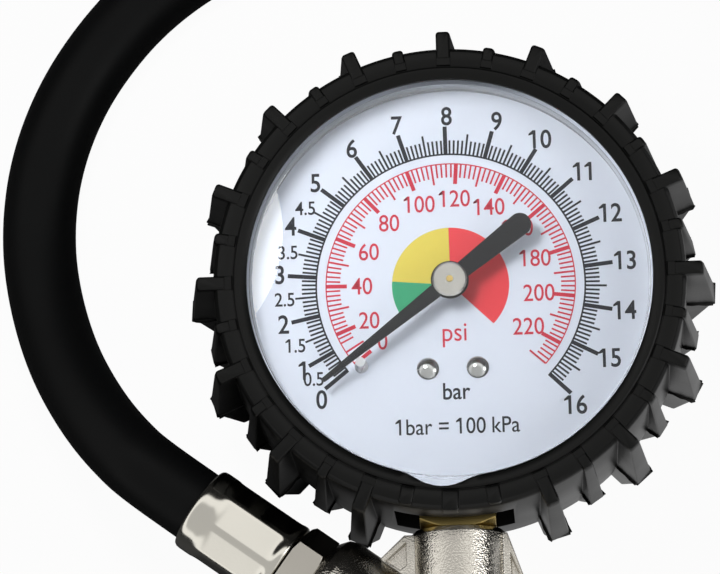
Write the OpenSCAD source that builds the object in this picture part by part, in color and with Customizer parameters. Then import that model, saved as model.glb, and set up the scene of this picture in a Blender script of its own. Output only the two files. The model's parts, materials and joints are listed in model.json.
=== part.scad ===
// Pistol tyre inflator: a dial gauge in a tread-pattern rubber boot, screwed into a nickel-plated
// cast pistol with a trigger valve, and a short rubber hose that ends in a clip-on tyre chuck.
// It lies on its back. The dial faces +Z, the gauge's neck points along -Y, and the origin is the
// centre of the boot's flat back. Lengths are in millimetres and angles in degrees.

/* [Gauge] */
// Outer radius of the steel case
case_r = 40; // [38:0.5:43]
// Sheet thickness of the case
case_t = 0.8; // [0.6:0.1:1.1]
// Height of the dial's face above the boot's back
dial_z = 30; // [29.5:0.25:32]
// Gap between the dial's edge and the case
dial_gap = 0.3; // [0.2:0.1:2.5]
// Thickness of the dial
dial_t = 0.5; // [0.4:0.1:0.8]
// Gap between the dial's face and the lens
lens_gap = 5.7; // [5.6:0.1:7]
// Thickness of the lens
lens_t = 1.6; // [1.2:0.1:2.2]
// Height of the middle of the gauge's socket, which is also the pistol's middle plane
socket_z = 20; // [19.5:0.25:20.5]
// Width across the flats of the socket's square neck
socket_w = 14; // [13:0.25:14.5]
// Radius of the gauge's screw thread
gauge_thread_r = 6.5; // [6:0.1:6.7]
// Length of the gauge's screw thread
gauge_thread_len = 12; // [9:0.5:13]
// How far the neck stands out of the case
neck_out = 4.5; // [4.5:0.25:7]

/* [Pointer] */
// Length of the pointer from its shaft to its tip
pointer_tip = 30; // [27:0.5:31]
// Length of the pointer's tail
pointer_tail = 16.6; // [12:0.2:20]
// Width of the pointer at its shaft
pointer_w = 2.9; // [2:0.1:3.2]
// Thickness of the pointer
pointer_t = 0.5; // [0.4:0.1:0.7]
// Angle of the zero mark, clockwise from the top of the dial
zero_angle = -129.1; // [-135:0.5:-120]
// Angle by which the stop pin holds the pointer above the zero mark
rest_lift = 1.8; // [0:0.2:3]
// Radius of the pointer's shaft
shaft_r = 0.6; // [0.5:0.05:0.7]
// Radius of the stop pin
stop_r = 0.9; // [0.8:0.1:1.2]

/* [Movement] */
// Module of the gear teeth
tooth_m = 0.32; // [0.3:0.01:0.34]
// Teeth on the pinion
pinion_teeth = 10; // [10:1:12]
// Teeth on a full circle of the sector gear
sector_teeth = 90; // [84:1:92]
// Thickness of the sector gear
sector_t = 1.2; // [0.8:0.1:1.6]
// Thickness of the movement's plates
plate_t = 1.2; // [1:0.1:1.4]
// Radius of the Bourdon tube's bend
tube_bend_r = 26; // [25.5:0.25:28]
// Thickness of the flattened Bourdon tube
tube_t = 2.4; // [2:0.1:2.8]
// Width of the flattened Bourdon tube
tube_w = 8; // [6:0.5:9]

/* [Boot] */
// Thickness of the boot's back
boot_back = 2.4; // [2:0.1:2.9]
// Thickness of the boot's wall at its crown
boot_wall = 3.8; // [3.2:0.1:4.2]
// Width of the boot's lip over the case and the window
lip_w = 2.7; // [1.5:0.1:3.5]
// Thickness of the boot's lip
lip_t = 1.2; // [1:0.1:1.8]
// Number of large tread blocks round the boot
lugs = 16; // [12:2:20]
// Height of the large blocks above the wall at the middle of the tread
lug_mid_h = 5.6; // [3.2:0.1:5.9]
// Height of the large blocks above the wall at the front face
lug_front_h = 2.6; // [1.2:0.1:3.6]
// Width of a block at the front face
lug_front_w = 2.4; // [1.8:0.1:4]
// Width of a block at the middle of the tread
lug_mid_w = 3.6; // [2.8:0.1:6]
// Width of the cut-out round the neck
cutout_w = 23; // [18:0.5:25]

/* [Pistol body] */
// Length of the gauge boss, from the neck to where the passages meet
boss_len = 29.2; // [27:0.1:31]
// Angle of the hose outlet above the horizontal
outlet_rise = 36.2; // [33:0.1:37.5]
// Radius of the outlet boss
outlet_r = 11.3; // [10:0.1:11.5]
// Length of the outlet boss from the junction
outlet_len = 33.6; // [31:0.2:36]
// Radius of the boss that holds the gauge
boss_r = 9.1; // [8.8:0.1:10]
// Slope of the handle below the horizontal
handle_slope = 72; // [68:0.5:76]
// Length of the handle from the junction to the inlet boss
handle_len = 104; // [96:1:115]
// Depth of the handle, front to back
handle_d = 27; // [25:0.5:29]
// Width of the handle, side to side
handle_w = 23.5; // [21:0.5:26]
// Radius of the inlet boss
inlet_r = 11; // [10.2:0.1:12]
// Length of the inlet boss
inlet_boss_len = 12; // [10:0.5:15]
// Radius of the threaded ports at the outlet and the inlet
port_r = 6.6; // [6.2:0.1:6.9]
// Depth of the threaded ports
port_depth = 13; // [12.5:0.5:15]
// Thickness of the two webs beside the gauge boss
web_t = 8; // [7:0.5:11]

/* [Valve] */
// Distance of the valve below the junction
valve_pos = 23; // [21:0.5:26]
// Radius of the valve stem
stem_r = 2; // [1.6:0.1:2.2]
// Radius of the poppet's disc
poppet_r = 4.6; // [4.2:0.1:4.9]
// Radius of the hole in the valve seat
seat_r = 2.9; // [2.6:0.1:3.2]
// Radius of the chamber behind the seat
chamber_r = 5.8; // [5.5:0.1:6.1]
// Radius of the spring wire
spring_wire_r = 0.45; // [0.35:0.05:0.5]
// Mean radius of the valve spring's coils
spring_r = 3.4; // [3:0.1:3.8]

/* [Trigger] */
// Distance of the trigger's hinge in front of the handle's axis
hinge_front = 21.5; // [21:0.25:23]
// Distance of the trigger's hinge below the junction
hinge_down = 1.5; // [1:0.25:3]
// Radius of the trigger's hinge pin
hinge_pin_r = 2; // [1.6:0.1:2.4]
// Width of the trigger
trigger_w = 15; // [13:0.5:18]
// Thickness of the trigger's blade
trigger_t = 5; // [4:0.25:6]
// Length of the trigger from its hinge to its end
trigger_len = 78; // [70:1:84]
// Width of the body's lug inside the trigger's fork
lug_w = 7.6; // [6:0.2:8]
// Angle that the trigger turns
trigger_turn = 10; // [6:0.5:12]

/* [Hose] */
// Radius of the hose
hose_r = 7; // [6.6:0.05:7.05]
// Outer radius of the crimped ferrules
ferrule_r = 8.3; // [8.1:0.05:8.5]
// Length of a ferrule
ferrule_len = 19.6; // [16:0.2:22]
// Width across the flats of the hose fittings' hexagons
hex_w = 16; // [15:0.5:17]
// Thickness of the hose fittings' hexagons
hex_t = 5.9; // [5:0.1:7]
// Radius of the hose fittings' barbs
barb_r = 3.9; // [3.5:0.1:4.4]
// Length of the hose fittings' barbs inside the hose
barb_len = 15; // [11:0.5:16]

/* [Chuck] */
// Radius of the chuck's body
chuck_r = 8.3; // [7.9:0.05:8.4]
// Length of the chuck's body
chuck_len = 42; // [38:0.5:48]
// Radius of the chuck's mouth, which slides over a tyre valve
mouth_r = 4.15; // [4.1:0.05:4.3]
// Depth of the chuck's mouth to its seal
mouth_depth = 11; // [9:0.5:13]
// Width of the clip lever
clip_w = 4; // [3:0.2:4.4]
// Radius of the clip lever's pin
clip_pin_r = 1.2; // [1:0.1:1.4]
// Angle that the clip lever turns
clip_turn = 10; // [6:0.5:12]

/* [Hidden] */

$fn = 64;
eps = 0.01;
round_fn = 32;            // steps round a hull's own children
rest_gap = 0.3;           // gap between moving pieces that almost touch
seat_gap = 0.1;           // gap between fixed pieces that are fitted together
run_gap = 0.05;           // radial gap of a shaft that turns or slides in its hole

// ---- heights in the gauge ----
gasket_t = 0.3;
case_back_z = boot_back + seat_gap;
lens_z = dial_z + lens_gap;
lens_top = lens_z + lens_t;
case_top = lens_z - gasket_t;
boot_h = lens_top + seat_gap + lip_t;
crown_z = boot_h * 0.4;                         // parting line round the tread
boot_in_r = case_r + seat_gap;
boot_r = boot_in_r + boot_wall;
skirt_t = 1.4;
dial_r = case_r - case_t - dial_gap;
lip_r = case_r - lip_w;
neck_len = case_r + neck_out;                   // from the dial's middle to the neck's shoulder
junction_len = neck_len + boss_len;
skirt_r = case_r - case_t - 0.2;                // outside of the lens's skirt

// ---- directions in the pistol's middle plane ----
outlet_angle = 180 - outlet_rise;
handle_turn = 270 - handle_slope;
zero_dir = 90 - zero_angle;                     // the zero mark, counter-clockwise from +X
rest_dir = zero_dir - rest_lift;                // the pointer at rest against its stop pin
dial_under = dial_z - dial_t;

module gun_frame(turn) {
  translate([0, -junction_len, socket_z]) rotate([0, 0, turn]) children();
}

// The handle's frame: +X is the trigger's side, +Y runs down the handle
module handle_frame() { gun_frame(handle_turn) children(); }

// The outlet's frame: +X runs from the junction to the hose
module outlet_frame() { gun_frame(outlet_angle) children(); }

// The chuck's frame: +X runs from the hose's end to the mouth
module chuck_frame() { translate(chuck_at) rotate([0, 0, -90]) children(); }

module along_x(x0, x1, r) {
  translate([x0, 0, 0]) rotate([0, 90, 0]) cylinder(h = x1 - x0, r = r);
}

// A straight hexagonal bar along X, with a flat on top
module hex_x(x0, x1, flats) {
  translate([x0, 0, 0]) rotate([0, 90, 0]) rotate([0, 0, 30])
    cylinder(h = x1 - x0, r = flats / sqrt(3), $fn = 6);
}

// A hexagon whose corners are turned off at both ends
module hex_nut_x(x0, x1, flats, cut) {
  corner = flats / sqrt(3);
  intersection() {
    hex_x(x0, x1, flats);
    translate([x0, 0, 0]) rotate([0, 90, 0]) rotate_extrude()
      polygon([[0, 0], [corner - cut, 0], [corner + eps, cut * 0.6],
               [corner + eps, x1 - x0 - cut * 0.6], [corner - cut, x1 - x0], [0, x1 - x0]]);
  }
}

module ring(z0, z1, r_out, r_in) {
  translate([0, 0, z0]) difference() {
    cylinder(h = z1 - z0, r = r_out);
    translate([0, 0, -1]) cylinder(h = z1 - z0 + 2, r = r_in);
  }
}

module ring_x(x0, x1, r_out, r_in) {
  translate([x0, 0, 0]) rotate([0, 90, 0]) ring(0, x1 - x0, r_out, r_in);
}

module o_ring_x(x, r_mid, r_cord) {
  translate([x, 0, 0]) rotate([0, 90, 0])
    rotate_extrude() translate([r_mid, 0]) circle(r = r_cord, $fn = 24);
}

// A round wire wound along X, as one tube swept by its own formula
module coil_x(x0, x1, r, wire, turns) {
  sides = 6;
  per_turn = 14;
  count = turns * per_turn;
  points = [for (i = [0:count]) for (j = [0:sides - 1])
    let (a = 360 * i / per_turn, b = 360 * j / sides, q = r + wire * cos(b))
    [x0 + wire + (x1 - x0 - 2 * wire) * i / count + wire * sin(b), q * cos(a), q * sin(a)]];
  sides_faces = [for (i = [0:count - 1]) for (j = [0:sides - 1])
    let (k = (j + 1) % sides)
    [i * sides + j, i * sides + k, (i + 1) * sides + k, (i + 1) * sides + j]];
  ends = [[for (j = [sides - 1:-1:0]) j], [for (j = [0:sides - 1]) count * sides + j]];
  polyhedron(points = points, faces = concat(sides_faces, ends));
}

// ---- boot ----
// One corner ring of a tread block: a rectangle in the radial and tangential directions
function block_ring(a, r0, r1, w, z) =
  [for (c = [[r0, -1], [r1, -1], [r1, 1], [r0, 1]])
    let (y = c[1] * w / 2) [c[0] * cos(a) - y * sin(a), c[0] * sin(a) + y * cos(a), z]];

module block(a, r0, w0, z0, r1, w1, z1) {
  root = boot_in_r + rib_root;
  polyhedron(
    points = concat(block_ring(a, root, r0, w0, z0), block_ring(a, root, r1, w1, z1)),
    faces = [[0, 1, 2, 3], [7, 6, 5, 4], [4, 5, 1, 0], [5, 6, 2, 1], [6, 7, 3, 2], [7, 4, 0, 3]]);
}

lug_step = 360 / lugs;
lug_mid_r = boot_r + lug_mid_h;
lug_front_r = boot_r + lug_front_h;
lug_back_r = boot_r + 1.7;
lug_back_w = lug_mid_w + 0.2;
small_drop = 2.7;               // how much lower the small blocks stand
small_share = 0.8;              // width of a small block as a share of a large one's
rib_root = 0.9;                 // the blocks start this far inside the wall
rib_up = 0.4;                   // how far the blocks stand above the front face
rib_depth = 5;                  // depth of the short ribs over the cut-out
cutout_z0 = socket_z - socket_w / 2 - 0.4;
cutout_z1 = socket_z + socket_w / 2 + 0.2;

module tread_block(a, small) {
  drop = small ? small_drop : 0;
  narrow = small ? small_share : 1;
  top = boot_h - 0.1;
  near_neck = abs(a - 270) < lug_step * 0.6;
  if (near_neck) {
    block(a, lug_front_r - drop, lug_front_w * narrow, boot_h - rib_depth,
          lug_front_r - drop, lug_front_w * narrow, top);
  } else {
    block(a, lug_mid_r - drop, lug_mid_w * narrow, crown_z,
          lug_front_r - drop, lug_front_w * narrow, top);
    block(a, lug_back_r - drop, lug_back_w * narrow, 0.4,
          lug_mid_r - drop, lug_mid_w * narrow, crown_z);
  }
}

module boot() {
  edge = 2;
  crown = 0.7;
  face_z = boot_h - 0.1 - rib_up;
  ring_r = case_r - 0.4;           // outside of the raised ring round the window
  color("#1d1e1e") difference() {
    union() {
      rotate_extrude($fn = 96) polygon([[0, 0], [boot_r - edge - crown, 0],
        [boot_r - crown, edge * 0.7], [boot_r, crown_z], [boot_r - 0.3, face_z - 1],
        [boot_r - 1.2, face_z], [ring_r + 0.3, face_z], [ring_r, boot_h],
        [lip_r + 0.5, boot_h], [lip_r, boot_h - 0.5],
        [lip_r, lens_top + seat_gap], [boot_in_r, lens_top + seat_gap],
        [boot_in_r, boot_back], [0, boot_back]]);
      for (i = [0:lugs - 1]) {
        tread_block(90 + i * lug_step, false);
        tread_block(90 + (i + 0.5) * lug_step, true);
      }
    }
    translate([-cutout_w / 2, -lug_mid_r - 2, cutout_z0])
      cube([cutout_w, lug_mid_r, cutout_z1 - cutout_z0]);
  }
}

// ---- gauge case and window ----
neck_gap = 0.2;

module neck_opening() {
  half = socket_w / 2 + neck_gap;
  translate([-half, -case_r - 5, socket_z - half]) cube([2 * half, 10, 2 * half]);
}

module case() {
  color("#8a8d90") difference() {
    rotate_extrude($fn = 96) polygon([[0, case_back_z], [case_r - 2, case_back_z],
      [case_r, case_back_z + 2], [case_r, case_top], [case_r - case_t, case_top],
      [case_r - case_t, case_back_z + 2.3], [case_r - 2.3, case_back_z + case_t],
      [0, case_back_z + case_t]]);
    neck_opening();
  }
}

module lens_gasket() {
  color("#2b2b2b") ring(case_top, lens_z, case_r, case_r - case_t - 0.1, $fn = 96);
}

module lens() {
  skirt_bottom = dial_z + rest_gap;
  color("#e8f0f4", 0.35) rotate_extrude($fn = 96) polygon([[0, lens_z],
    [skirt_r - skirt_t, lens_z], [skirt_r - skirt_t, skirt_bottom], [skirt_r, skirt_bottom],
    [skirt_r, lens_z], [case_r, lens_z], [case_r, lens_top], [0, lens_top]]);
}

// ---- dial ----
screw_x = 4.6;
screw_y = -15.75;
screw_head_r = 2.05;
screw_head_h = 1.1;
screw_shank_r = 1.1;
dial_bore = 2;
stop_radius = 22.5;
stop_foot_r = stop_r + 0.35;
tip_half = 0.42;
// half the pointer's width at a distance from its shaft towards the tip
function pointer_half(r) = pointer_w / 2 - (pointer_w / 2 - tip_half) * r / pointer_tip;
// from the pointer's middle line to the pin's
stop_offset = pointer_half(stop_radius) + stop_r + seat_gap;
stop_dir = rest_dir + asin(stop_offset / stop_radius);
stop_at = stop_radius * [cos(stop_dir), sin(stop_dir)];
pointer_z = dial_z + 3.9;
cap_z = pointer_z + pointer_t;
cap_t = 0.8;

module dial() {
  color("#dfe6f3") difference() {
    translate([0, 0, dial_under]) cylinder(h = dial_t, r = dial_r, $fn = 96);
    translate([0, 0, dial_under - 1]) cylinder(h = dial_t + 2, r = dial_bore);
    for (s = [-1, 1]) translate([s * screw_x, screw_y, dial_under - 1])
      cylinder(h = dial_t + 2, r = screw_shank_r + seat_gap);
    translate([stop_at.x, stop_at.y, dial_under - 1]) cylinder(h = dial_t + 2, r = stop_r * 0.6);
  }
}

module dial_screws() {
  dome = screw_head_r / 0.92;
  color("#c9c9c6") for (s = [-1, 1]) translate([s * screw_x, screw_y, 0]) {
    intersection() {
      translate([0, 0, dial_z]) cylinder(h = screw_head_h, r = screw_head_r);
      translate([0, 0, dial_z + screw_head_h - dome * 1.25]) sphere(r = dome * 1.25);
    }
    translate([0, 0, dial_z - 5]) cylinder(h = 5.2, r = screw_shank_r);
  }
}

module stop_pin() {
  color("#eef0f2", 0.7) translate([stop_at.x, stop_at.y, 0]) {
    translate([0, 0, dial_z]) rotate_extrude() polygon([[0, 0], [stop_foot_r, 0],
      [stop_foot_r, 0.9], [stop_r, 1.6], [stop_r, cap_z - dial_z + 0.1],
      [0, cap_z - dial_z + 0.1]]);
    translate([0, 0, dial_under]) cylinder(h = dial_t + 0.1, r = stop_r * 0.6 - 0.02);
  }
}

// ---- pointer ----
tail_half = 2.1;
hub_r = 3.5;

module pointer() {
  color("#33363a") rotate([0, 0, rest_dir]) difference() {
    union() {
      translate([0, 0, pointer_z]) linear_extrude(pointer_t) {
        polygon([[-pointer_tail, -tail_half], [0, -pointer_w / 2], [pointer_tip - 0.25, -tip_half],
                 [pointer_tip, 0.15 - tip_half], [pointer_tip, tip_half - 0.15],
                 [pointer_tip - 0.25, tip_half], [0, pointer_w / 2], [-pointer_tail, tail_half]]);
        translate([-pointer_tail, 0]) circle(r = tail_half);
        circle(r = hub_r);
      }
      translate([0, 0, dial_z + 1])
        cylinder(h = pointer_z - dial_z - 1 + pointer_t / 2, r = dial_bore - 0.5);
    }
    translate([0, 0, dial_z]) cylinder(h = 10, r = shaft_r + 0.02);
  }
}

module pointer_cap() {
  cap_r = hub_r - 0.25;
  color("#c4c2ba") difference() {
    translate([0, 0, cap_z]) rotate_extrude() polygon([[0, 0], [cap_r, 0], [cap_r, cap_t * 0.6],
      [cap_r - 0.35, cap_t], [0, cap_t]]);
    translate([0, 0, cap_z - 1]) cylinder(h = cap_t + 2, r = shaft_r + 0.02);
  }
}

// ---- movement ----
back_plate_z = 15.5;
front_plate_z = 25;
pinion_r = tooth_m * pinion_teeth / 2;
sector_r = tooth_m * sector_teeth / 2;
centre_gap = 0.05;                                   // running clearance of the gear pair
centre_dist = pinion_r + sector_r + centre_gap;
sector_dir = -20;                                    // direction of the sector's arbor
sector_at = centre_dist * [cos(sector_dir), sin(sector_dir)];
mesh_dir = sector_dir + 180;                         // from the sector's arbor to the shaft
sector_z = (back_plate_z + plate_t + front_plate_z - sector_t) / 2;
sector_turn = 263.1 * pinion_teeth / sector_teeth;
tail_len = 4.4;
tail_dir = -46;
tail_at = sector_at + tail_len * [cos(tail_dir), sin(tail_dir)];
tube_root_dir = 248;
tip_dir = 8;                                         // direction of the tip's pin
tube_end_dir = tip_dir + 5.5;
tip_pin_r = 0.6;
tip_at = (tube_bend_r - 0.3) * [cos(tip_dir), sin(tip_dir)];
arbor_r = 0.7;
pillars = [[-7, 5], [15, 8.2]];
pillar_r = 1.5;

// One gear tooth as a flank outline round the origin, pointing along direction a
function tooth(r, a, m) =
  let (half = m * 0.66, top = m * 0.3, out = r + m * 0.8, low = r - m * 1.15, mid = r)
  [for (p = [[low, -half * 1.25], [mid, -half], [out, -top], [out, top], [mid, half],
             [low, half * 1.25]])
    [p[0] * cos(a) - p[1] * sin(a), p[0] * sin(a) + p[1] * cos(a)]];

module pinion_shaft() {
  tooth_len = 5;
  z0 = sector_z + sector_t / 2 - tooth_len / 2;
  color("#b9964a") {
    translate([0, 0, z0]) linear_extrude(tooth_len) {
      circle(r = pinion_r - tooth_m * 1.1, $fn = 24);
      for (i = [0:pinion_teeth - 1]) polygon(tooth(pinion_r, sector_dir + i * 360 / pinion_teeth,
                                                   tooth_m));
    }
    translate([0, 0, back_plate_z + 0.1])
      cylinder(h = cap_z + cap_t + 0.1 - back_plate_z, r = shaft_r, $fn = 24);
  }
}

module sector_gear() {
  pitch = 360 / sector_teeth;
  first = mesh_dir - sector_turn - 5;
  last = mesh_dir + 5;
  rim = sector_r - tooth_m * 1.1;
  count = floor((last - first) / pitch);
  color("#b9964a") translate([sector_at.x, sector_at.y, 0]) difference() {
    union() {
      translate([0, 0, sector_z]) linear_extrude(sector_t) {
        difference() {
          polygon(concat([[0, 0]], [for (i = [0:12]) let (a = first + (last - first) * i / 12)
            rim * [cos(a), sin(a)]]));
          polygon([for (p = [[5, 10], [rim - 2.2, 6], [rim - 2.2, last - first - 6],
                             [5, last - first - 10]])
            p[0] * [cos(first + p[1]), sin(first + p[1])]]);
        }
        circle(r = 2.6);
        rotate(tail_dir) translate([0, -1]) square([tail_len, 2]);
        translate(tail_len * [cos(tail_dir), sin(tail_dir)]) circle(r = 1.2);
        for (i = [0:count]) polygon(tooth(sector_r, mesh_dir + pitch / 2 - (i - 1) * pitch,
                                          tooth_m));
      }
      translate([0, 0, back_plate_z + 0.1])
        cylinder(h = front_plate_z + plate_t - back_plate_z - 0.2, r = arbor_r, $fn = 24);
      translate([tail_len * cos(tail_dir), tail_len * sin(tail_dir), sector_z])
        cylinder(h = sector_t + 1.4, r = 0.5, $fn = 24);
    }
  }
}

// The link turns on the tube's tip pin; its other eye is wide round the sector's tail pin
module gauge_link() {
  z0 = sector_z + sector_t + rest_gap;
  d = tip_at - tail_at;
  len = norm(d);
  color("#c2a05a") translate([tail_at.x, tail_at.y, z0]) rotate([0, 0, atan2(d.y, d.x)])
    linear_extrude(0.7) difference() {
      union() {
        translate([0, -0.8]) square([len, 1.6]);
        circle(r = 1.6);
        translate([len, 0]) circle(r = 1.3);
      }
      circle(r = 1, $fn = 24);
      translate([len, 0]) circle(r = tip_pin_r + run_gap, $fn = 24);
    }
}

tube_z0 = socket_z - tube_w / 2;
tube_gap = 0.25;                                     // angle between the tube's root and its shoe
tube_wall = 0.35;

module bourdon_arc(r_out, r_in, z0, z1, from, to) {
  rotate([0, 0, from]) rotate_extrude(angle = to - from, $fn = 96)
    translate([r_in, z0]) square([r_out - r_in, z1 - z0]);
}

module bourdon_tube() {
  r_out = tube_bend_r + tube_t / 2;
  r_in = tube_bend_r - tube_t / 2;
  color("#b07b3c") difference() {
    bourdon_arc(r_out, r_in, tube_z0, tube_z0 + tube_w, tube_end_dir, tube_root_dir - tube_gap);
    bourdon_arc(r_out - tube_wall, r_in + tube_wall, tube_z0 + tube_wall,
                tube_z0 + tube_w - tube_wall, tube_end_dir + 3, tube_root_dir);
  }
}

// A plate closes the tube, and its tongue carries the pin over the link's eye
module tube_tip() {
  tongue_z = sector_z + sector_t + rest_gap + 1;
  r_out = tube_bend_r + tube_t / 2;
  r_in = tube_bend_r - tube_t / 2;
  color("#b9964a") {
    bourdon_arc(r_out, r_in, tube_z0 + 0.5, tube_z0 + tube_w - 0.5, tube_end_dir - 1.5,
                tube_end_dir - 0.1);
    bourdon_arc(r_out - 0.2, r_in - 0.2, tongue_z, tongue_z + 1.2, tip_dir, tube_end_dir - 0.3);
    translate([tip_at.x, tip_at.y, 0]) {
      translate([0, 0, sector_z + sector_t]) cylinder(h = 1.6, r = tip_pin_r, $fn = 24);
      translate([0, 0, tongue_z - 0.1]) cylinder(h = 1.5, r = 1.4, $fn = 24);
    }
  }
}

step_y = -24;                                        // where the block steps down under the plate
step_z = back_plate_z - seat_gap / 2;
head_y = -11;
post_r = 2;
shoe_r0 = tube_bend_r - tube_t / 2 - 1;
shoe_r1 = tube_bend_r + tube_t / 2 + 1;
shoe_sweep = 14;
air_r = 1.3;

module socket_block() {
  half = socket_w / 2;
  base = socket_z - half;
  chamfer = 1.6;
  color("#b08d3f") difference() {
    union() {
      intersection() {
        translate([-half, -neck_len, base]) cube([socket_w, neck_len + step_y, socket_w]);
        translate([0, -neck_len, socket_z]) rotate([-90, 0, 0])
          cylinder(h = neck_len, r1 = half * 1.08, r2 = half * 1.08 + neck_len * chamfer, $fn = 48);
      }
      translate([-half, step_y - eps, base]) cube([socket_w, head_y - step_y, step_z - base]);
      translate([0, -neck_len - gauge_thread_len, socket_z]) rotate([-90, 0, 0])
        cylinder(h = gauge_thread_len + 1, r = gauge_thread_r);
      for (s = [-1, 1]) translate([s * screw_x, screw_y, base])
        cylinder(h = dial_under - base, r = post_r);
      bourdon_arc(shoe_r1, shoe_r0, tube_z0 - 1.5, tube_z0 + tube_w + 1.5,
                  tube_root_dir, tube_root_dir + shoe_sweep);
    }
    for (s = [-1, 1]) translate([s * screw_x, screw_y, dial_z - 6])
      cylinder(h = 8, r = screw_shank_r + 0.02);
    translate([0, -neck_len - gauge_thread_len - 1, socket_z]) rotate([-90, 0, 0])
      cylinder(h = gauge_thread_len + neck_len - tube_bend_r + 2, r = air_r);
    rotate([0, 0, tube_root_dir]) translate([tube_bend_r, 0, socket_z]) rotate([-90, 0, 0])
      translate([0, 0, -1]) cylinder(h = tube_bend_r * sin(270 - tube_root_dir) + 2, r = 0.7);
    translate([0, -18, base - 1]) cylinder(h = 8, r = 1.22);
  }
}

// Outline shared by the movement's two plates, with a foot that reaches down to foot_y
module plate_outline(foot_y) {
  polygon([[-10, 0], [-10, 6.5], [-8.5, 8], [-4, 8], [2, 11], [16, 11.2], [18.5, 8.5],
           [19, -3], [sector_at.x + 3, -10], [10, -10.5], [2.3, -8.5], [2.3, foot_y],
           [-2.3, foot_y], [-2.3, -6.2]]);
}

module movement_back_plate() {
  color("#b9964a") translate([0, 0, back_plate_z]) difference() {
    linear_extrude(plate_t) plate_outline(-22);
    translate([0, 0, -1]) cylinder(h = 4, r = shaft_r + run_gap, $fn = 24);
    translate([sector_at.x, sector_at.y, -1]) cylinder(h = 4, r = arbor_r + run_gap, $fn = 24);
    translate([0, -18, -1]) cylinder(h = 4, r = 1.3);
  }
}

module movement_front_plate() {
  color("#b9964a") translate([0, 0, front_plate_z]) difference() {
    linear_extrude(plate_t) plate_outline(-7);
    translate([0, 0, -1]) cylinder(h = 4, r = shaft_r + run_gap, $fn = 24);
    translate([sector_at.x, sector_at.y, -1]) cylinder(h = 4, r = arbor_r + run_gap, $fn = 24);
    for (p = pillars) translate([p.x, p.y, -1]) cylinder(h = 4, r = 0.85);
  }
}

module movement_pillars() {
  color("#b9964a") for (p = pillars) translate([p.x, p.y, 0]) difference() {
    translate([0, 0, back_plate_z + plate_t])
      cylinder(h = front_plate_z - back_plate_z - plate_t, r = pillar_r);
    translate([0, 0, front_plate_z - 4]) cylinder(h = 5, r = 0.77);
  }
}

module movement_screws() {
  color("#9a9c9e") {
    for (p = pillars) translate([p.x, p.y, 0]) {
      translate([0, 0, front_plate_z - 3]) cylinder(h = 3 + plate_t, r = 0.75);
      translate([0, 0, front_plate_z + plate_t]) cylinder(h = 0.9, r = 1.5);
    }
    translate([0, -18, 0]) {
      translate([0, 0, back_plate_z - 2.4]) cylinder(h = 2.4 + plate_t, r = 1.2);
      translate([0, 0, back_plate_z + plate_t]) cylinder(h = 1.2, r = 2.1);
    }
  }
}

module hairspring() {
  strip = 0.22;
  turns = 4;
  r0 = shaft_r + 0.7;
  end_dir = atan2(pillars[0].y, pillars[0].x);
  r1 = norm(pillars[0]) - pillar_r - strip - 0.05;
  steps = 30 * turns;
  function at(i, off) = let (a = end_dir + 360 * turns * (i / steps - 1),
                             r = r0 + (r1 - r0) * i / steps + off) r * [cos(a), sin(a)];
  color("#a9abad") translate([0, 0, front_plate_z - 1.4]) linear_extrude(0.8)
    polygon(concat([for (i = [0:steps]) at(i, 0)], [for (i = [steps:-1:0]) at(i, strip)]));
}

module gauge_seal() {
  y0 = -neck_len - gauge_thread_len - seat_gap - 1.5;
  color("#b87349") translate([0, y0, socket_z]) rotate([-90, 0, 0])
    ring(0, 1.5, gauge_thread_r - 0.4, 2.6);
}

// ---- pistol body ----
passage_r = 2.6;
gland_r = 5;
gland_hex = 12;
gland_face = 15.5;                       // front face of the valve's boss
gland_in = 6.5;                          // inner end of the gland's thread
seat_x = 0;
seat_wall = 1.4;
front_chamber_r = 4.4;
plug_face = -15.5;
plug_in = -12.5;
plug_r = 6.5;
bleed_down = -1;                         // place of the bleed valve below the junction
bleed_face = -17;
bleed_r = 4;
bleed_in = -5.5;
lug_round_r = 5;
hinge_at = [hinge_front, hinge_down];

handle_top = 12.8;                       // height of the handle's domed top above the junction
handle_wave = 54;                        // length over which the grip narrows and swells
handle_sides = 36;

// Share of its full section that the handle has at a distance t below the junction
function handle_full(t) =
  t < 0 ? sqrt(max(0, 1 - pow(t / handle_top, 2)))
        : t > handle_len - 3 ? 1 - 0.012 * pow(t - handle_len + 3, 2) : 1;

// How much the grip narrows at its waist, 0 at its widest
function handle_waist(t) = t < 17 ? 0 : (1 + cos(360 * (t - 44) / handle_wave)) / 2;

// One rounded section of the handle, as points round its axis
function handle_ring(t) =
  let (q = handle_full(t), d = (handle_d - 2.2 * handle_waist(t)) / 2 * q,
       w = (handle_w - 1.2 * handle_waist(t)) / 2 * q)
  [for (i = [0:handle_sides - 1]) let (a = 360 * (i + 0.5) / handle_sides,
                                       c = cos(a), n = sin(a))
    [d * sign(c) * pow(abs(c), 0.86), t, w * sign(n) * pow(abs(n), 0.86)]];

module handle_shape() {
  steps = 22;
  rows = concat([for (i = [1:6]) -handle_top * cos(90 * i / 7)],
                [for (i = [0:steps]) handle_len * i / steps]);
  n = len(rows);
  points = [for (t = rows) each handle_ring(t)];
  walls = [for (i = [0:n - 2]) for (j = [0:handle_sides - 1]) let (k = (j + 1) % handle_sides)
    [i * handle_sides + j, i * handle_sides + k, (i + 1) * handle_sides + k,
     (i + 1) * handle_sides + j]];
  ends = [[for (j = [handle_sides - 1:-1:0]) j],
          [for (j = [0:handle_sides - 1]) (n - 1) * handle_sides + j]];
  polyhedron(points = points, faces = concat(walls, ends));
}

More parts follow.
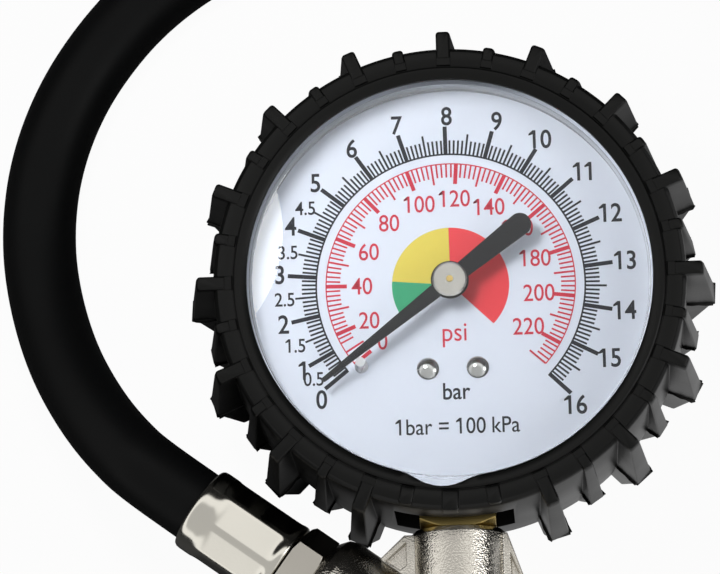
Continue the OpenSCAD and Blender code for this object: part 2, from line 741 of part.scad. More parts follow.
web_pocket = 2;                          // depth of the pockets in the webs
web_top = boss_len - 1.1;                // just inside the gauge boss
web_outline = [[boss_r - 0.1, web_top], [-boss_r - 0.9, web_top], [-14.3, boss_len - 5.1],
  [-17, 19.7], [-12, 7.7], [2, 0.7], [14, 4.7], [15.2, 7.7], [11.7, boss_len - 8.9]];
web_pockets = [
  [[-boss_r - 0.6, boss_len - 2.3], [-13.6, boss_len - 5.7], [-10.9, boss_len - 7.5],
   [-boss_r - 0.6, boss_len - 6.6]],
  [[boss_r + 0.3, boss_len - 4.6], [11.1, boss_len - 8.9], [13.8, 7.7], [boss_r + 1, 7.7]]];

module webs() {
  gun_frame(0) difference() {
    linear_extrude(web_t, center = true) polygon(web_outline);
    for (s = [-1, 1]) translate([0, 0, s * (web_t / 2 - web_pocket / 2 + 0.5)])
      for (p = web_pockets) linear_extrude(web_pocket + 1, center = true) polygon(p);
  }
}

module body_bores() {
  // gauge port and its passage down to the junction
  translate([0, -neck_len, socket_z]) rotate([90, 0, 0]) {
    translate([0, 0, -1]) cylinder(h = 1 + port_depth + 1.5, r = gauge_thread_r + seat_gap);
    cylinder(h = junction_len - neck_len, r = passage_r - 0.5);
  }
  outlet_frame() {
    along_x(outlet_len - port_depth, outlet_len + 1, port_r);
    along_x(-0.5, outlet_len, passage_r + 0.4);
  }
  handle_frame() {
    translate([0, valve_pos, 0]) {
      along_x(gland_in, gland_face + 5, gland_r + seat_gap);
      along_x(seat_x + seat_wall, gland_in + 0.5, front_chamber_r);
      along_x(seat_x - 1, seat_x + seat_wall + 1, seat_r);
      along_x(plug_in, seat_x, chamber_r);
      along_x(plug_face - 5, plug_in + 0.5, plug_r + seat_gap);
    }
    // front chamber to the junction, and rear chamber to the inlet
    translate([3.9, -1, 0]) rotate([-90, 0, 0]) cylinder(h = valve_pos + 1, r = 1.9);
    translate([-4.6, valve_pos, 0]) rotate([-90, 0, 0])
      cylinder(h = handle_len - valve_pos, r = passage_r);
    translate([0, handle_len + inlet_boss_len - port_depth, 0]) rotate([-90, 0, 0])
      cylinder(h = port_depth + 1, r = port_r);
    translate([0, bleed_down, 0]) {
      along_x(bleed_face - 4, bleed_in, bleed_r + seat_gap);
      along_x(bleed_in - 1, 0, 1.4);
    }
    translate([hinge_at.x, hinge_at.y, -lug_w]) cylinder(h = 2 * lug_w, r = hinge_pin_r + 0.02);
  }
}

module body_casting() {
  edge = 1.6;
  color("#b9b6ae") difference() {
    union() {
      // boss that takes the gauge
      translate([0, -neck_len - seat_gap, socket_z]) rotate([90, 0, 0]) rotate_extrude()
        polygon([[0, 0], [boss_r - 0.9, 0], [boss_r, 0.9], [boss_r, junction_len - neck_len],
                 [0, junction_len - neck_len]]);
      webs();
      outlet_frame() rotate([0, 90, 0]) rotate_extrude()
        polygon([[0, 0], [outlet_r, 0], [outlet_r, outlet_len - edge * 1.7],
                 [outlet_r - edge * 0.35, outlet_len - edge * 0.7],
                 [outlet_r - edge * 1.2, outlet_len], [0, outlet_len]]);
      handle_frame() {
        handle_shape();
        translate([0, handle_len - 4, 0]) rotate([-90, 0, 0]) rotate_extrude()
          polygon([[0, 0], [inlet_r, 0], [inlet_r, inlet_boss_len + 3],
                   [inlet_r - 1, inlet_boss_len + 4], [0, inlet_boss_len + 4]]);
        translate([0, valve_pos, 0]) {
          along_x(0, gland_face, 8.6);
          along_x(plug_face, 0, 9.2);
        }
        translate([0, bleed_down, 0]) along_x(bleed_face, 0, 6.6);
        // lug for the trigger's hinge
        linear_extrude(lug_w, center = true) {
          translate(hinge_at) circle(r = lug_round_r);
          translate([0, hinge_at.y - lug_round_r + 0.2]) square([hinge_at.x, 2 * lug_round_r - 0.4]);
        }
      }
    }
    body_bores();
  }
}

// ---- valve ----
gland_hex_t = 2.8;
stroke = (valve_pos - hinge_down) * tan(trigger_turn);
stem_tip = gland_face + gland_hex_t + stroke + 0.6 * gland_hex * tan(trigger_turn) + rest_gap;
poppet_t = 1.8;
seal_t = 1.5;
poppet_x = seat_x - seat_gap - seal_t;          // face of the poppet that carries the seal

module valve_gland() {
  color("#b9964a") handle_frame() translate([0, valve_pos, 0]) difference() {
    union() {
      along_x(gland_in + 0.2, gland_face + 1, gland_r);
      hex_nut_x(gland_face + eps, gland_face + gland_hex_t, gland_hex, 0.7);
    }
    along_x(0, gland_face + 5, stem_r + run_gap);
    along_x(gland_in, gland_in + 2.6, stem_r + 1.45);
  }
}

module gland_o_ring() {
  color("#202020") handle_frame() translate([0, valve_pos, 0])
    o_ring_x(gland_in + 1.4, stem_r + 0.75, 0.65);
}

module valve_stem() {
  color("#c2a05a") handle_frame() translate([0, valve_pos, 0]) {
    along_x(poppet_x - poppet_t, stem_tip - 0.8, stem_r);
    translate([stem_tip - 0.8, 0, 0]) rotate([0, 90, 0]) cylinder(h = 0.8, r1 = stem_r,
                                                               r2 = stem_r - 0.7);
    along_x(poppet_x - poppet_t, poppet_x, poppet_r);
    along_x(poppet_x - poppet_t - 2, poppet_x, spring_r - spring_wire_r - 0.4);
  }
}

module poppet_seal() {
  color("#202020") handle_frame() translate([0, valve_pos, 0])
    ring_x(poppet_x, poppet_x + seal_t, poppet_r - 0.2, stem_r + 0.02);
}

module valve_spring() {
  color("#a9abad") handle_frame() translate([0, valve_pos, 0])
    coil_x(plug_in + seat_gap, poppet_x - poppet_t - seat_gap, spring_r, spring_wire_r, 5);
}

module valve_plug() {
  color("#c2a05a") handle_frame() translate([0, valve_pos, 0]) difference() {
    union() {
      along_x(plug_face - 1, plug_in, plug_r);
      translate([plug_face - 3.6, 0, 0]) hex_nut_x(0, 3.6 - eps, 15, 0.9);
    }
    along_x(plug_face - 4, plug_face - 0.8, 3.4);
  }
}

module plug_o_ring() {
  color("#202020") handle_frame() translate([0, valve_pos, 0])
    o_ring_x(plug_in + 0.6, chamber_r - 0.75, 0.55);
}

// ---- bleed valve ----
button_r = 1.6;
button_out = 4.2;                        // how far the button stands out of its sleeve
bleed_travel = 2.2;
bleed_flange = 5.4;
bleed_seat = bleed_in - bleed_travel - 1.9;     // inner end of the sleeve

module bleed_sleeve() {
  color("#b9964a") handle_frame() translate([0, bleed_down, 0]) difference() {
    union() {
      along_x(bleed_face - 1, bleed_seat, bleed_r);
      along_x(bleed_face - 1.6, bleed_face - seat_gap, bleed_flange);
    }
    along_x(bleed_face - 3, bleed_in + 1, button_r + run_gap);
    along_x(bleed_face - 3, bleed_face + 3.6, button_r + 1.25);
  }
}

module bleed_button() {
  head_r = button_r + 2.4;
  color("#c4c2ba") handle_frame() translate([0, bleed_down, 0]) {
    along_x(bleed_face - 1.6 - button_out, bleed_seat + 0.6, button_r);
    along_x(bleed_face - 1.6 - button_out - 1.2, bleed_face - 1.6 - button_out + 1, head_r);
    along_x(bleed_seat + seat_gap, bleed_seat + seat_gap + 1, button_r + 1);
  }
}

module bleed_spring() {
  color("#a9abad") handle_frame() translate([0, bleed_down, 0])
    coil_x(bleed_face - 1.6 - button_out + 1.1, bleed_face + 3.5, button_r + 0.7, 0.3, 4);
}

// ---- trigger ----
fork_gap = 0.3;
finger_out = 12;                         // how far the trigger's end stands outwards at rest
blade_x = stem_tip + rest_gap;           // inner face of the blade at the stem
end_y = hinge_down + trigger_len;

// Inner face of the trigger as a smooth curve from the hinge to the finger end
function blade_face(y) =
  let (u = (y - valve_pos) / (end_y - valve_pos))
  y < valve_pos ? blade_x : blade_x + finger_out * u * u;

module trigger() {
  steps = 12;
  y0 = hinge_down + lug_round_r + 1.2;
  inner = [for (i = [0:steps]) let (y = y0 + (end_y - y0) * i / steps) [blade_face(y), y]];
  outer = [for (i = [steps:-1:0]) let (y = y0 + (end_y - y0) * i / steps)
    [blade_face(y) + trigger_t, y]];
  color("#b9b6ae") handle_frame() difference() {
    union() {
      linear_extrude(trigger_w, center = true) {
        polygon(concat(inner, outer));
        translate([blade_face(end_y) + trigger_t / 2, end_y]) circle(r = trigger_t / 2);
      }
      linear_extrude(trigger_w, center = true) {
        translate(hinge_at) circle(r = lug_round_r - 0.4);
        polygon([[hinge_at.x - lug_round_r + 0.5, hinge_at.y], [blade_x, y0 + 3],
                 [blade_x + trigger_t, y0 + 3], [hinge_at.x + lug_round_r - 0.6, hinge_at.y]]);
      }
    }
    translate([hinge_at.x - 12, hinge_at.y - 12, -lug_w / 2 - fork_gap])
      cube([24, 12 + lug_round_r + 0.6, lug_w + 2 * fork_gap]);
    translate([hinge_at.x, hinge_at.y, -trigger_w])
      cylinder(h = 2 * trigger_w, r = hinge_pin_r + run_gap);
  }
}

clip_disc = 0.8;
pin_over = 1.6;

module trigger_pin() {
  half = trigger_w / 2 + rest_gap + clip_disc + 0.6;
  color("#8f9294") handle_frame() translate([hinge_at.x, hinge_at.y, -half])
    difference() {
      cylinder(h = 2 * half, r = hinge_pin_r);
      for (z = [half - trigger_w / 2 - rest_gap - clip_disc, half + trigger_w / 2 + rest_gap])
        ring(z - 0.02, z + clip_disc + 0.02, hinge_pin_r + 1, hinge_pin_r - 0.4);
    }
}

module trigger_pin_clips() {
  color("#5e6164") handle_frame() translate([hinge_at.x, hinge_at.y, 0])
    for (z = [-trigger_w / 2 - rest_gap - clip_disc, trigger_w / 2 + rest_gap]) difference() {
      ring(z, z + clip_disc, hinge_pin_r + pin_over, hinge_pin_r - 0.35);
      translate([0, -0.8, z - 1]) cube([10, 1.6, 3]);
    }
}

// ---- air inlet ----
inlet_x = handle_len + inlet_boss_len;
nose_r = 4.9;
nose_len = 7;

module inlet_nipple() {
  color("#b5b3aa") handle_frame() rotate([0, 0, 90]) difference() {
    union() {
      along_x(inlet_x - port_depth + 3, inlet_x + 0.5, port_r - seat_gap);
      hex_nut_x(inlet_x + seat_gap, inlet_x + 5, 14, 0.9);
      along_x(inlet_x + 4.9, inlet_x + 12, 5.6);
      along_x(inlet_x + 11.9, inlet_x + 15.5, 3.7);
      along_x(inlet_x + 15.4, inlet_x + 19, 5.6);
      along_x(inlet_x + 18.9, inlet_x + 19 + nose_len, nose_r);
    }
    along_x(0, inlet_x + 40, 2.7);
  }
}

module inlet_seal() {
  color("#202020") handle_frame() rotate([0, 0, 90])
    ring_x(inlet_x - port_depth + 0.2, inlet_x - port_depth + 2.8, port_r - 0.2, 3.2);
}

// ---- hose fittings, hose and ferrules ----
fit_gap = 0.3;
hex_x0 = outlet_len + 0.2;
ferrule_x0 = hex_x0 + hex_t + fit_gap;
ferrule_x1 = ferrule_x0 + ferrule_len;
hose_in = ferrule_len - 2.4;              // length of hose inside a ferrule
hose_bore = (barb_r + seat_gap) / cos(15);

// Screwed end, hexagon, shoulder and barb, along X from the thread's end
module fitting(thread_x, thread_r) {
  barb_x = ferrule_x0 + 2.2;
  difference() {
    union() {
      along_x(thread_x, hex_x0 + 0.1, thread_r);
      hex_nut_x(hex_x0, hex_x0 + hex_t, hex_w, 0.8);
      along_x(hex_x0 + hex_t - 0.1, barb_x + barb_len, barb_r - 0.5);
      for (i = [0:3]) translate([barb_x + 2 + i * barb_len / 4.6, 0, 0]) rotate([0, 90, 0])
        cylinder(h = 2.2, r1 = barb_r, r2 = barb_r - 0.5);
    }
    along_x(thread_x - 1, barb_x + barb_len + 1, 2.4);
  }
}

// A sleeve with a round mouth over the hose and flats where it is crimped
module ferrule() {
  flats = ferrule_r * 2 - 0.7;
  round_x = ferrule_x1 - ferrule_len * 0.3;
  difference() {
    union() {
      intersection() {
        along_x(ferrule_x0, ferrule_x1, ferrule_r);
        translate([ferrule_x0, 0, 0]) rotate([0, 90, 0]) rotate([0, 0, 22.5])
          cylinder(h = ferrule_len, r = flats / 2 / cos(22.5), $fn = 8);
      }
      along_x(round_x, ferrule_x1, ferrule_r);
    }
    along_x(ferrule_x0 + 1.8, ferrule_x1 + 1, hose_r + seat_gap);
    along_x(ferrule_x0 - 1, ferrule_x0 + 3, barb_r - 0.45);
  }
}

module hose_fitting() {
  color("#b5b3aa") outlet_frame() fitting(outlet_len - port_depth + 2, port_r - seat_gap);
}

module gun_ferrule() { color("#c8c5bc") outlet_frame() ferrule(); }

function turned(a, p) = [p[0] * cos(a) - p[1] * sin(a), p[0] * sin(a) + p[1] * cos(a), 0];
outlet_origin = [0, -junction_len, socket_z];
hose_start = outlet_origin + turned(outlet_angle, [ferrule_x1 - hose_in, 0]);
hose_mouth = outlet_origin + turned(outlet_angle, [ferrule_x1, 0]);
hose_clear = outlet_origin + turned(outlet_angle, [ferrule_x1 + 6, 0]);

// The far end lies straight along -Y, with the ferrule just clear of the floor
chuck_at = [85, -110, 8.4];               // end of the hose inside the chuck's ferrule
hose_route = [
  [-57.9, -31.0, 19.6], [-62.4, -26.6, 18.3], [-66.6, -21.4, 16.6], [-70.4, -15.4, 14.6],
  [-73.7, -8.8, 12.4], [-76.3, -1.6, 10.3], [-78.2, 6.2, 8.6], [-79.2, 14.0, 7.5],
  [-79.1, 22.0, 7.1], [-77.9, 30.0, 7.1], [-75.5, 38.0, 7.1], [-71.9, 45.8, 7.1],
  [-67.1, 53.2, 7.1], [-61.2, 60.2, 7.1], [-54.4, 66.2, 7.1], [-46.8, 71.2, 7.1],
  [-38.4, 75.2, 7.1], [-29.4, 78.0, 7.1], [-20.0, 79.7, 7.1], [-10.4, 80.6, 7.1],
  [0.0, 81.0, 7.1], [10.2, 81.0, 7.1], [20.4, 80.7, 7.1], [30.4, 79.6, 7.1],
  [40.0, 77.2, 7.1], [49.2, 73.3, 7.1], [57.8, 68.1, 7.1], [65.5, 61.5, 7.1],
  [72.0, 53.8, 7.1], [77.2, 45.2, 7.1], [81.0, 35.9, 7.1], [83.5, 26.0, 7.1],
  [84.7, 15.8, 7.1], [85.0, 5.5, 7.1], [85.0, -8.0, 7.1], [85.0, -22.0, 7.2],
  [85.0, -36.0, 7.4], [85.0, -50.0, 7.7], [85.0, -64.0, 8.1], [85.0, -78.0, 8.4]];
hose_path = concat([hose_start, hose_mouth], hose_route, [chuck_at + [0, hose_in, 0], chuck_at]);

function unit(v) = v / norm(v);

// Direction of a path at point i, and two directions square to it
function heading(path, i) =
  unit(path[min(i + 1, len(path) - 1)] - path[max(i - 1, 0)]);

// A round tube along a path; r is its outside and bore its inside
module sweep(path, r, bore, sides) {
  n = len(path);
  inner = n * sides;
  points = [for (q = [r, bore]) for (i = [0:n - 1])
    let (t = heading(path, i), u = unit(cross([0, 0, 1], t)), v = cross(t, u))
    for (j = [0:sides - 1]) let (a = 360 * (j + 0.5) / sides)
      path[i] + q * (cos(a) * u + sin(a) * v)];
  outside = [for (i = [0:n - 2]) for (j = [0:sides - 1])
    let (k = (j + 1) % sides, a = i * sides, b = a + sides) [a + j, b + j, b + k, a + k]];
  inside = [for (f = outside) [f[3] + inner, f[2] + inner, f[1] + inner, f[0] + inner]];
  first = [for (j = [0:sides - 1]) let (k = (j + 1) % sides) [j, k, k + inner, j + inner]];
  last = [for (f = first) let (e = (n - 1) * sides) [f[3] + e, f[2] + e, f[1] + e, f[0] + e]];
  polyhedron(points = points, faces = concat(outside, inside, first, last));
}

module hose() { color("#1b1c1d") sweep(hose_path, hose_r, hose_bore, 12); }

// The chuck's ferrule and fitting are like the pistol's, turned to face the other way
module flip_to_hose() {
  chuck_frame() translate([ferrule_x1 - hose_in, 0, 0]) mirror([1, 0, 0]) children();
}

module chuck_ferrule() { color("#c8c5bc") flip_to_hose() ferrule(); }

module chuck_fitting() {
  color("#b5b3aa") flip_to_hose() fitting(hex_x0 - 9, 5);
}

chuck_x0 = ferrule_x1 - hose_in - hex_x0 + 0.1;
chuck_x1 = chuck_x0 + chuck_len;
clip_slot = clip_w + 2 * fork_gap;
clip_pivot = [chuck_x1 - 13, chuck_r + 2.6];     // along the chuck, and out from its axis
ear_t = 1.8;
ear_r = 3;

module chuck_body() {
  color("#b9b6ae") chuck_frame() difference() {
    union() {
      translate([chuck_x0, 0, 0]) rotate([0, 90, 0]) rotate_extrude() polygon([[0, 0],
        [chuck_r - 0.8, 0], [chuck_r, 0.8], [chuck_r, 12], [chuck_r - 0.8, 13],
        [chuck_r - 0.8, chuck_len - 16], [chuck_r, chuck_len - 15], [chuck_r, chuck_len - 0.8],
        [chuck_r - 0.8, chuck_len], [0, chuck_len]]);
      for (s = [-1, 1]) translate([0, 0, s * (clip_slot + ear_t) / 2])
        linear_extrude(ear_t, center = true) {
          translate(clip_pivot) circle(r = ear_r);
          translate([clip_pivot.x - ear_r, 0]) square([2 * ear_r, clip_pivot.y]);
        }
    }
    along_x(chuck_x0 - 1, chuck_x0 + 10, 5.1);
    along_x(chuck_x0, chuck_x1, 2);
    along_x(chuck_x1 - mouth_depth - 0.5, chuck_x1 + 1, mouth_r);
    along_x(chuck_x1 - mouth_depth - 3, chuck_x1 - mouth_depth, mouth_r + 0.5);
    translate([chuck_x1 - 9, 0, -clip_slot / 2]) cube([6, 20, clip_slot]);
    translate([clip_pivot.x - 6, chuck_r - 1.4, -clip_slot / 2]) cube([12, 20, clip_slot]);
    translate([clip_pivot.x, clip_pivot.y, -10]) cylinder(h = 20, r = clip_pin_r + 0.02);
  }
}

module chuck_seal() {
  color("#202020") chuck_frame()
    ring_x(chuck_x1 - mouth_depth - 2.9, chuck_x1 - mouth_depth - 0.1, mouth_r + 0.4, 1.5);
}

module chuck_depressor() {
  x0 = chuck_x1 - mouth_depth - 9;
  color("#c2a05a") chuck_frame() {
    along_x(x0, chuck_x1 - mouth_depth - 0.3, 0.9);
    difference() {
      along_x(x0, x0 + 3, 1.95);
      for (s = [-1, 1]) translate([x0 - 1, s * 1.6 - 0.35, -3]) cube([5, 0.7, 6]);
    }
  }
}

// Clip lever: a thumb tail, a hinge eye and a jaw that drops into the chuck's slot
jaw_in = mouth_r + 0.1;
tail_x = chuck_x0 + 3;
tail_out = chuck_r + 6.4;
spring_x = chuck_x0 + 17;
spring_top = chuck_r + 5.4;

module clip_lever() {
  px = clip_pivot.x;
  py = clip_pivot.y;
  color("#c8c5bc") chuck_frame() difference() {
    linear_extrude(clip_w, center = true) {
      translate(clip_pivot) circle(r = 2.6);
      polygon([[px, py - 2.2], [px, py + 2.6], [tail_x + 4, tail_out + 1.8],
               [tail_x, tail_out + 1], [tail_x, tail_out - 1], [tail_x + 5, tail_out - 0.6]]);
      polygon([[px, py - 2.2], [px + 4.6, chuck_r + 0.2], [px + 4.8, jaw_in], [px + 7.4, jaw_in],
               [px + 8.6, jaw_in + 2], [px + 8.4, py + 0.6], [px, py + 2.6]]);
    }
    translate([px, py, -10]) cylinder(h = 20, r = clip_pin_r + run_gap);
    translate([spring_x, spring_top, 0]) rotate([90, 0, 0]) cylinder(h = 3, r = 1.5);
  }
}

module clip_pin() {
  half = clip_slot / 2 + ear_t + 0.5;
  color("#8f9294") chuck_frame() translate([clip_pivot.x, clip_pivot.y, -half])
    cylinder(h = 2 * half, r = clip_pin_r);
}

module clip_spring() {
  color("#a9abad") chuck_frame() translate([spring_x, chuck_r - 0.7, 0]) rotate([0, 0, 90])
    coil_x(0, spring_top - chuck_r + 0.6, 1.1, 0.25, 5);
}

boot();
case();
lens();
lens_gasket();
dial();
dial_screws();
stop_pin();
pointer();
pointer_cap();
pinion_shaft();
sector_gear();
gauge_link();
bourdon_tube();
tube_tip();
socket_block();
movement_back_plate();
movement_front_plate();
movement_pillars();
movement_screws();
hairspring();
gauge_seal();
body_casting();
valve_gland();
gland_o_ring();
valve_stem();
poppet_seal();
valve_spring();
valve_plug();
plug_o_ring();
bleed_sleeve();
bleed_button();
bleed_spring();
trigger();
trigger_pin();
trigger_pin_clips();
inlet_nipple();
inlet_seal();
hose_fitting();
gun_ferrule();
hose();
chuck_ferrule();
chuck_fitting();
chuck_body();
chuck_seal();
chuck_depressor();
clip_lever();
clip_pin();
clip_spring();
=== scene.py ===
# %% [markdown]
# # A tyre inflator with a dial gauge
# A pistol tyre inflator lies on its back on a white table. Its gauge sits in a rubber boot with
# a tyre's tread, and a short hose leaves the pistol at one side. The solids come from the CAD
# frame; this lesson gives them their finishes, and adds the parts whose look a plain solid
# cannot carry: the hose, the moulded boot, the crimped ferrule, the printed scales of the dial
# and the window over them.

# %% Start from the CAD frame
import json
import math
import random

import bmesh
import bpy
from mathutils import Matrix, Vector


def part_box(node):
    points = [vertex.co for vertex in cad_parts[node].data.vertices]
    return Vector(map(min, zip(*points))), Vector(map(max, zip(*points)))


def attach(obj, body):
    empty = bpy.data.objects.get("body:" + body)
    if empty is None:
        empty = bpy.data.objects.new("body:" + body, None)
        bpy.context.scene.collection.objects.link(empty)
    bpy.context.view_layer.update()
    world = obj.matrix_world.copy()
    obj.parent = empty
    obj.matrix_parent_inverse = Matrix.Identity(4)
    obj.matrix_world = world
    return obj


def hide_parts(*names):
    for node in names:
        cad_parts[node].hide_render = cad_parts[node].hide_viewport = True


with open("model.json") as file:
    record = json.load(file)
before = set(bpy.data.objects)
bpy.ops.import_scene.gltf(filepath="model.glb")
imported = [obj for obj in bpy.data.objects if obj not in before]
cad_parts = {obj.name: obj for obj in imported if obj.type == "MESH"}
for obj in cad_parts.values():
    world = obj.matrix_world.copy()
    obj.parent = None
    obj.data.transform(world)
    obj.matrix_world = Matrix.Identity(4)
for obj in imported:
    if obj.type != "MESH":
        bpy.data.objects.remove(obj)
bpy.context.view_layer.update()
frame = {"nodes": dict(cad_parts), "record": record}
nodes = frame["nodes"]
MM = 0.001  # sizes below are in millimetres, and meshes are in metres
print("the frame holds", len(nodes), "solids")

# %% [markdown]
# ## The camera
# The gauge is seen almost straight from above, by a long lens, so that the round dial stays
# round. A camera could be aimed by a constraint at a target, but three plain values say the same:
# its place, the direction of its line of sight, and a small roll, as the inflator lies slightly
# turned on the table.

# %% Camera
TOWARDS_CAMERA = Vector((0.04702, -0.22120, 0.97409)).normalized()
CAMERA_PLACE = Vector((20.854, -176.886, 810.101)) * MM
CAMERA_ROLL = math.radians(1.3)
FOCAL_MM = 216.0
SENSOR_MM = 36.0
NEAREST, FURTHEST = 0.01, 20.0


def make_camera():
    """A camera at its place, with its own axes worked out from the line of sight and roll."""
    up = Vector((math.sin(CAMERA_ROLL), math.cos(CAMERA_ROLL), 0))
    up = (up - up.dot(TOWARDS_CAMERA) * TOWARDS_CAMERA).normalized()
    side = up.cross(TOWARDS_CAMERA)
    turn = Matrix((side, up, TOWARDS_CAMERA)).transposed()
    data = bpy.data.cameras.new("camera")
    data.lens = FOCAL_MM
    data.sensor_width = SENSOR_MM
    data.clip_start, data.clip_end = NEAREST, FURTHEST
    camera = bpy.data.objects.new("camera", data)
    camera.matrix_world = Matrix.Translation(CAMERA_PLACE) @ turn.to_4x4()
    bpy.context.scene.collection.objects.link(camera)
    bpy.context.scene.camera = camera
    return camera


camera = make_camera()
print("the camera stands at", [round(v, 3) for v in camera.location])

# %% [markdown]
# ## The finishes
# No real surface is one flat value. Each finish could have its own noise, but one small group of
# shader nodes makes a slow cloud and a fine grain from Object coordinates for all of them, and
# each finish mixes these in by its own amounts: the cast body's grain is coarse and deep, the
# rubber's is faint, and the dial's enamel is almost even. Turned and cast metal also gets a
# Bevel node, which rounds its edges in the shading alone.

# %% Shader group
def make_texture_group():
    """Cloud and grain, each a noise from 0 to 1, at the scales that a finish asks for."""
    tree = bpy.data.node_groups.new("cloud and grain", "ShaderNodeTree")
    for label, value in (("Cloud scale", 60.0), ("Grain scale", 1500.0)):
        socket = tree.interface.new_socket(label, in_out="INPUT", socket_type="NodeSocketFloat")
        socket.default_value = value
    for label in ("Cloud", "Grain"):
        tree.interface.new_socket(label, in_out="OUTPUT", socket_type="NodeSocketFloat")
    link = tree.links.new
    source = tree.nodes.new("NodeGroupInput")
    result = tree.nodes.new("NodeGroupOutput")
    place = tree.nodes.new("ShaderNodeTexCoord")
    for label, detail in (("Cloud", 3.0), ("Grain", 1.0)):
        noise = tree.nodes.new("ShaderNodeTexNoise")
        noise.inputs["Detail"].default_value = detail
        link(place.outputs["Object"], noise.inputs["Vector"])
        link(source.outputs[label + " scale"], noise.inputs["Scale"])
        link(noise.outputs["Fac"], result.inputs[label])
    return tree


texture_group = make_texture_group()
print("the texture group puts out", [s.name for s in texture_group.interface.items_tree
                                     if s.in_out == "OUTPUT"])


# %% How a finish is built
def finish(name, colour, metallic=0.0, rough=0.5, cloud=60.0, grain=1500.0, tone=0.12,
           rough_spread=0.1, bump=0.0, bump_depth=0.00002, edge=0.0, **sockets):
    """A Principled finish whose colour, roughness and relief change over the surface."""
    material = bpy.data.materials.new(name)
    material.use_nodes = True
    tree = material.node_tree
    link = tree.links.new
    shader = tree.nodes["Principled BSDF"]
    texture = tree.nodes.new("ShaderNodeGroup")
    texture.node_tree = texture_group
    texture.inputs["Cloud scale"].default_value = cloud
    texture.inputs["Grain scale"].default_value = grain
    shade = tree.nodes.new("ShaderNodeMix")
    shade.data_type = "RGBA"
    shade.inputs["A"].default_value = [c * (1 - tone) for c in colour] + [1]
    shade.inputs["B"].default_value = [min(1, c * (1 + tone)) for c in colour] + [1]
    link(texture.outputs["Cloud"], shade.inputs["Factor"])
    link(shade.outputs["Result"], shader.inputs["Base Color"])
    level = tree.nodes.new("ShaderNodeMapRange")
    level.inputs["To Min"].default_value = max(0.0, rough - rough_spread)
    level.inputs["To Max"].default_value = min(1.0, rough + rough_spread)
    link(texture.outputs["Cloud"], level.inputs["Value"])
    link(level.outputs["Result"], shader.inputs["Roughness"])
    relief = tree.nodes.new("ShaderNodeBump")
    relief.inputs["Strength"].default_value = bump
    relief.inputs["Distance"].default_value = bump_depth
    link(texture.outputs["Grain"], relief.inputs["Height"])
    link(relief.outputs["Normal"], shader.inputs["Normal"])
    if edge:
        rounding = tree.nodes.new("ShaderNodeBevel")
        rounding.samples = 6
        rounding.inputs["Radius"].default_value = edge * MM
        link(rounding.outputs["Normal"], relief.inputs["Normal"])
    shader.inputs["Metallic"].default_value = metallic
    for label, value in sockets.items():
        shader.inputs[label.replace("_", " ")].default_value = value
    return material


def clear_finish(name, colour, rough, ior, clear=1.0):
    """A see-through finish that also lets light through to what lies under it."""
    material = finish(name, colour, rough=rough, tone=0.0, rough_spread=rough,
                      Transmission_Weight=clear, IOR=ior)
    tree = material.node_tree
    node, link = tree.nodes.new, tree.links.new
    path, through = node("ShaderNodeLightPath"), node("ShaderNodeBsdfTransparent")
    mix = node("ShaderNodeMixShader")
    link(path.outputs["Is Shadow Ray"], mix.inputs[0])
    link(tree.nodes["Principled BSDF"].outputs[0], mix.inputs[1])
    link(through.outputs[0], mix.inputs[2])
    link(mix.outputs[0], tree.nodes["Material Output"].inputs["Surface"])
    return material


print("finishes can be solid or clear")

# %% Every finish on the inflator
FINISHES = {
    "boot": finish("boot rubber", (0.005, 0.0052, 0.005), rough=0.34, bump=0.3,
                   rough_spread=0.1, bump_depth=0.00004, edge=0.15, Specular_IOR_Level=0.2),
    "hose_rubber": finish("hose rubber", (0.004, 0.0042, 0.0044), rough=0.48, bump=0.12,
                          Specular_IOR_Level=0.12),
    "seal_rubber": finish("seal rubber", (0.02, 0.02, 0.02), rough=0.6, bump=0.1),
    "case_steel": finish("case steel", (0.42, 0.43, 0.44), 1.0, 0.34, bump=0.1),
    "dial_face": finish("dial enamel", (0.71, 0.755, 0.86), rough=0.5, tone=0.01, bump=0.02),
    "screw_steel": finish("screw steel", (0.62, 0.62, 0.61), 1.0, 0.16, rough_spread=0.05),
    "pointer_black": finish("pointer paint", (0.008, 0.009, 0.011), rough=0.5, bump=0.1,
                            Specular_IOR_Level=0.15),
    "nickel_trim": finish("nickel trim", (0.66, 0.64, 0.60), 1.0, 0.2, rough_spread=0.06),
    "movement_brass": finish("movement brass", (0.62, 0.45, 0.16), 1.0, 0.3, bump=0.1),
    "bronze": finish("bronze tube", (0.50, 0.30, 0.13), 1.0, 0.28, bump=0.1),
    "socket_brass": finish("socket brass", (0.50, 0.38, 0.14), 1.0, 0.3, tone=0.25, bump=0.15,
                           edge=0.3),
    "plain_steel": finish("plain steel", (0.45, 0.46, 0.47), 1.0, 0.3, bump=0.1),
    "spring_steel": finish("spring steel", (0.40, 0.41, 0.43), 1.0, 0.28, bump=0.1),
    "fibre": finish("fibre washer", (0.42, 0.15, 0.07), rough=0.7, bump=0.4),
    "nickel_casting": finish("nickel casting", (0.68, 0.65, 0.59), 1.0, 0.14, tone=0.12,
                             rough_spread=0.06, grain=3000.0, bump=1.0, bump_depth=0.00008,
                             edge=0.5),
    "nickel_fittings": finish("nickel fittings", (0.66, 0.63, 0.57), 1.0, 0.17, bump=0.15,
                              rough_spread=0.06, edge=0.3),
    "ferrule_steel": finish("ferrule nickel", (0.70, 0.68, 0.62), 1.0, 0.14, bump=0.1,
                            rough_spread=0.05, edge=0.3),
    "lens": clear_finish("window glass", (0.97, 0.985, 0.99), 0.01, 1.45),
    "clear_plastic": clear_finish("frosted plastic", (0.86, 0.88, 0.90), 0.25, 1.45, 0.45),
}
for part in frame["record"]["subparts"]:
    node = nodes[part["node"]]
    node.data.materials.clear()
    node.data.materials.append(FINISHES[part["material_slot"]])
print("made", len(FINISHES), "finishes")

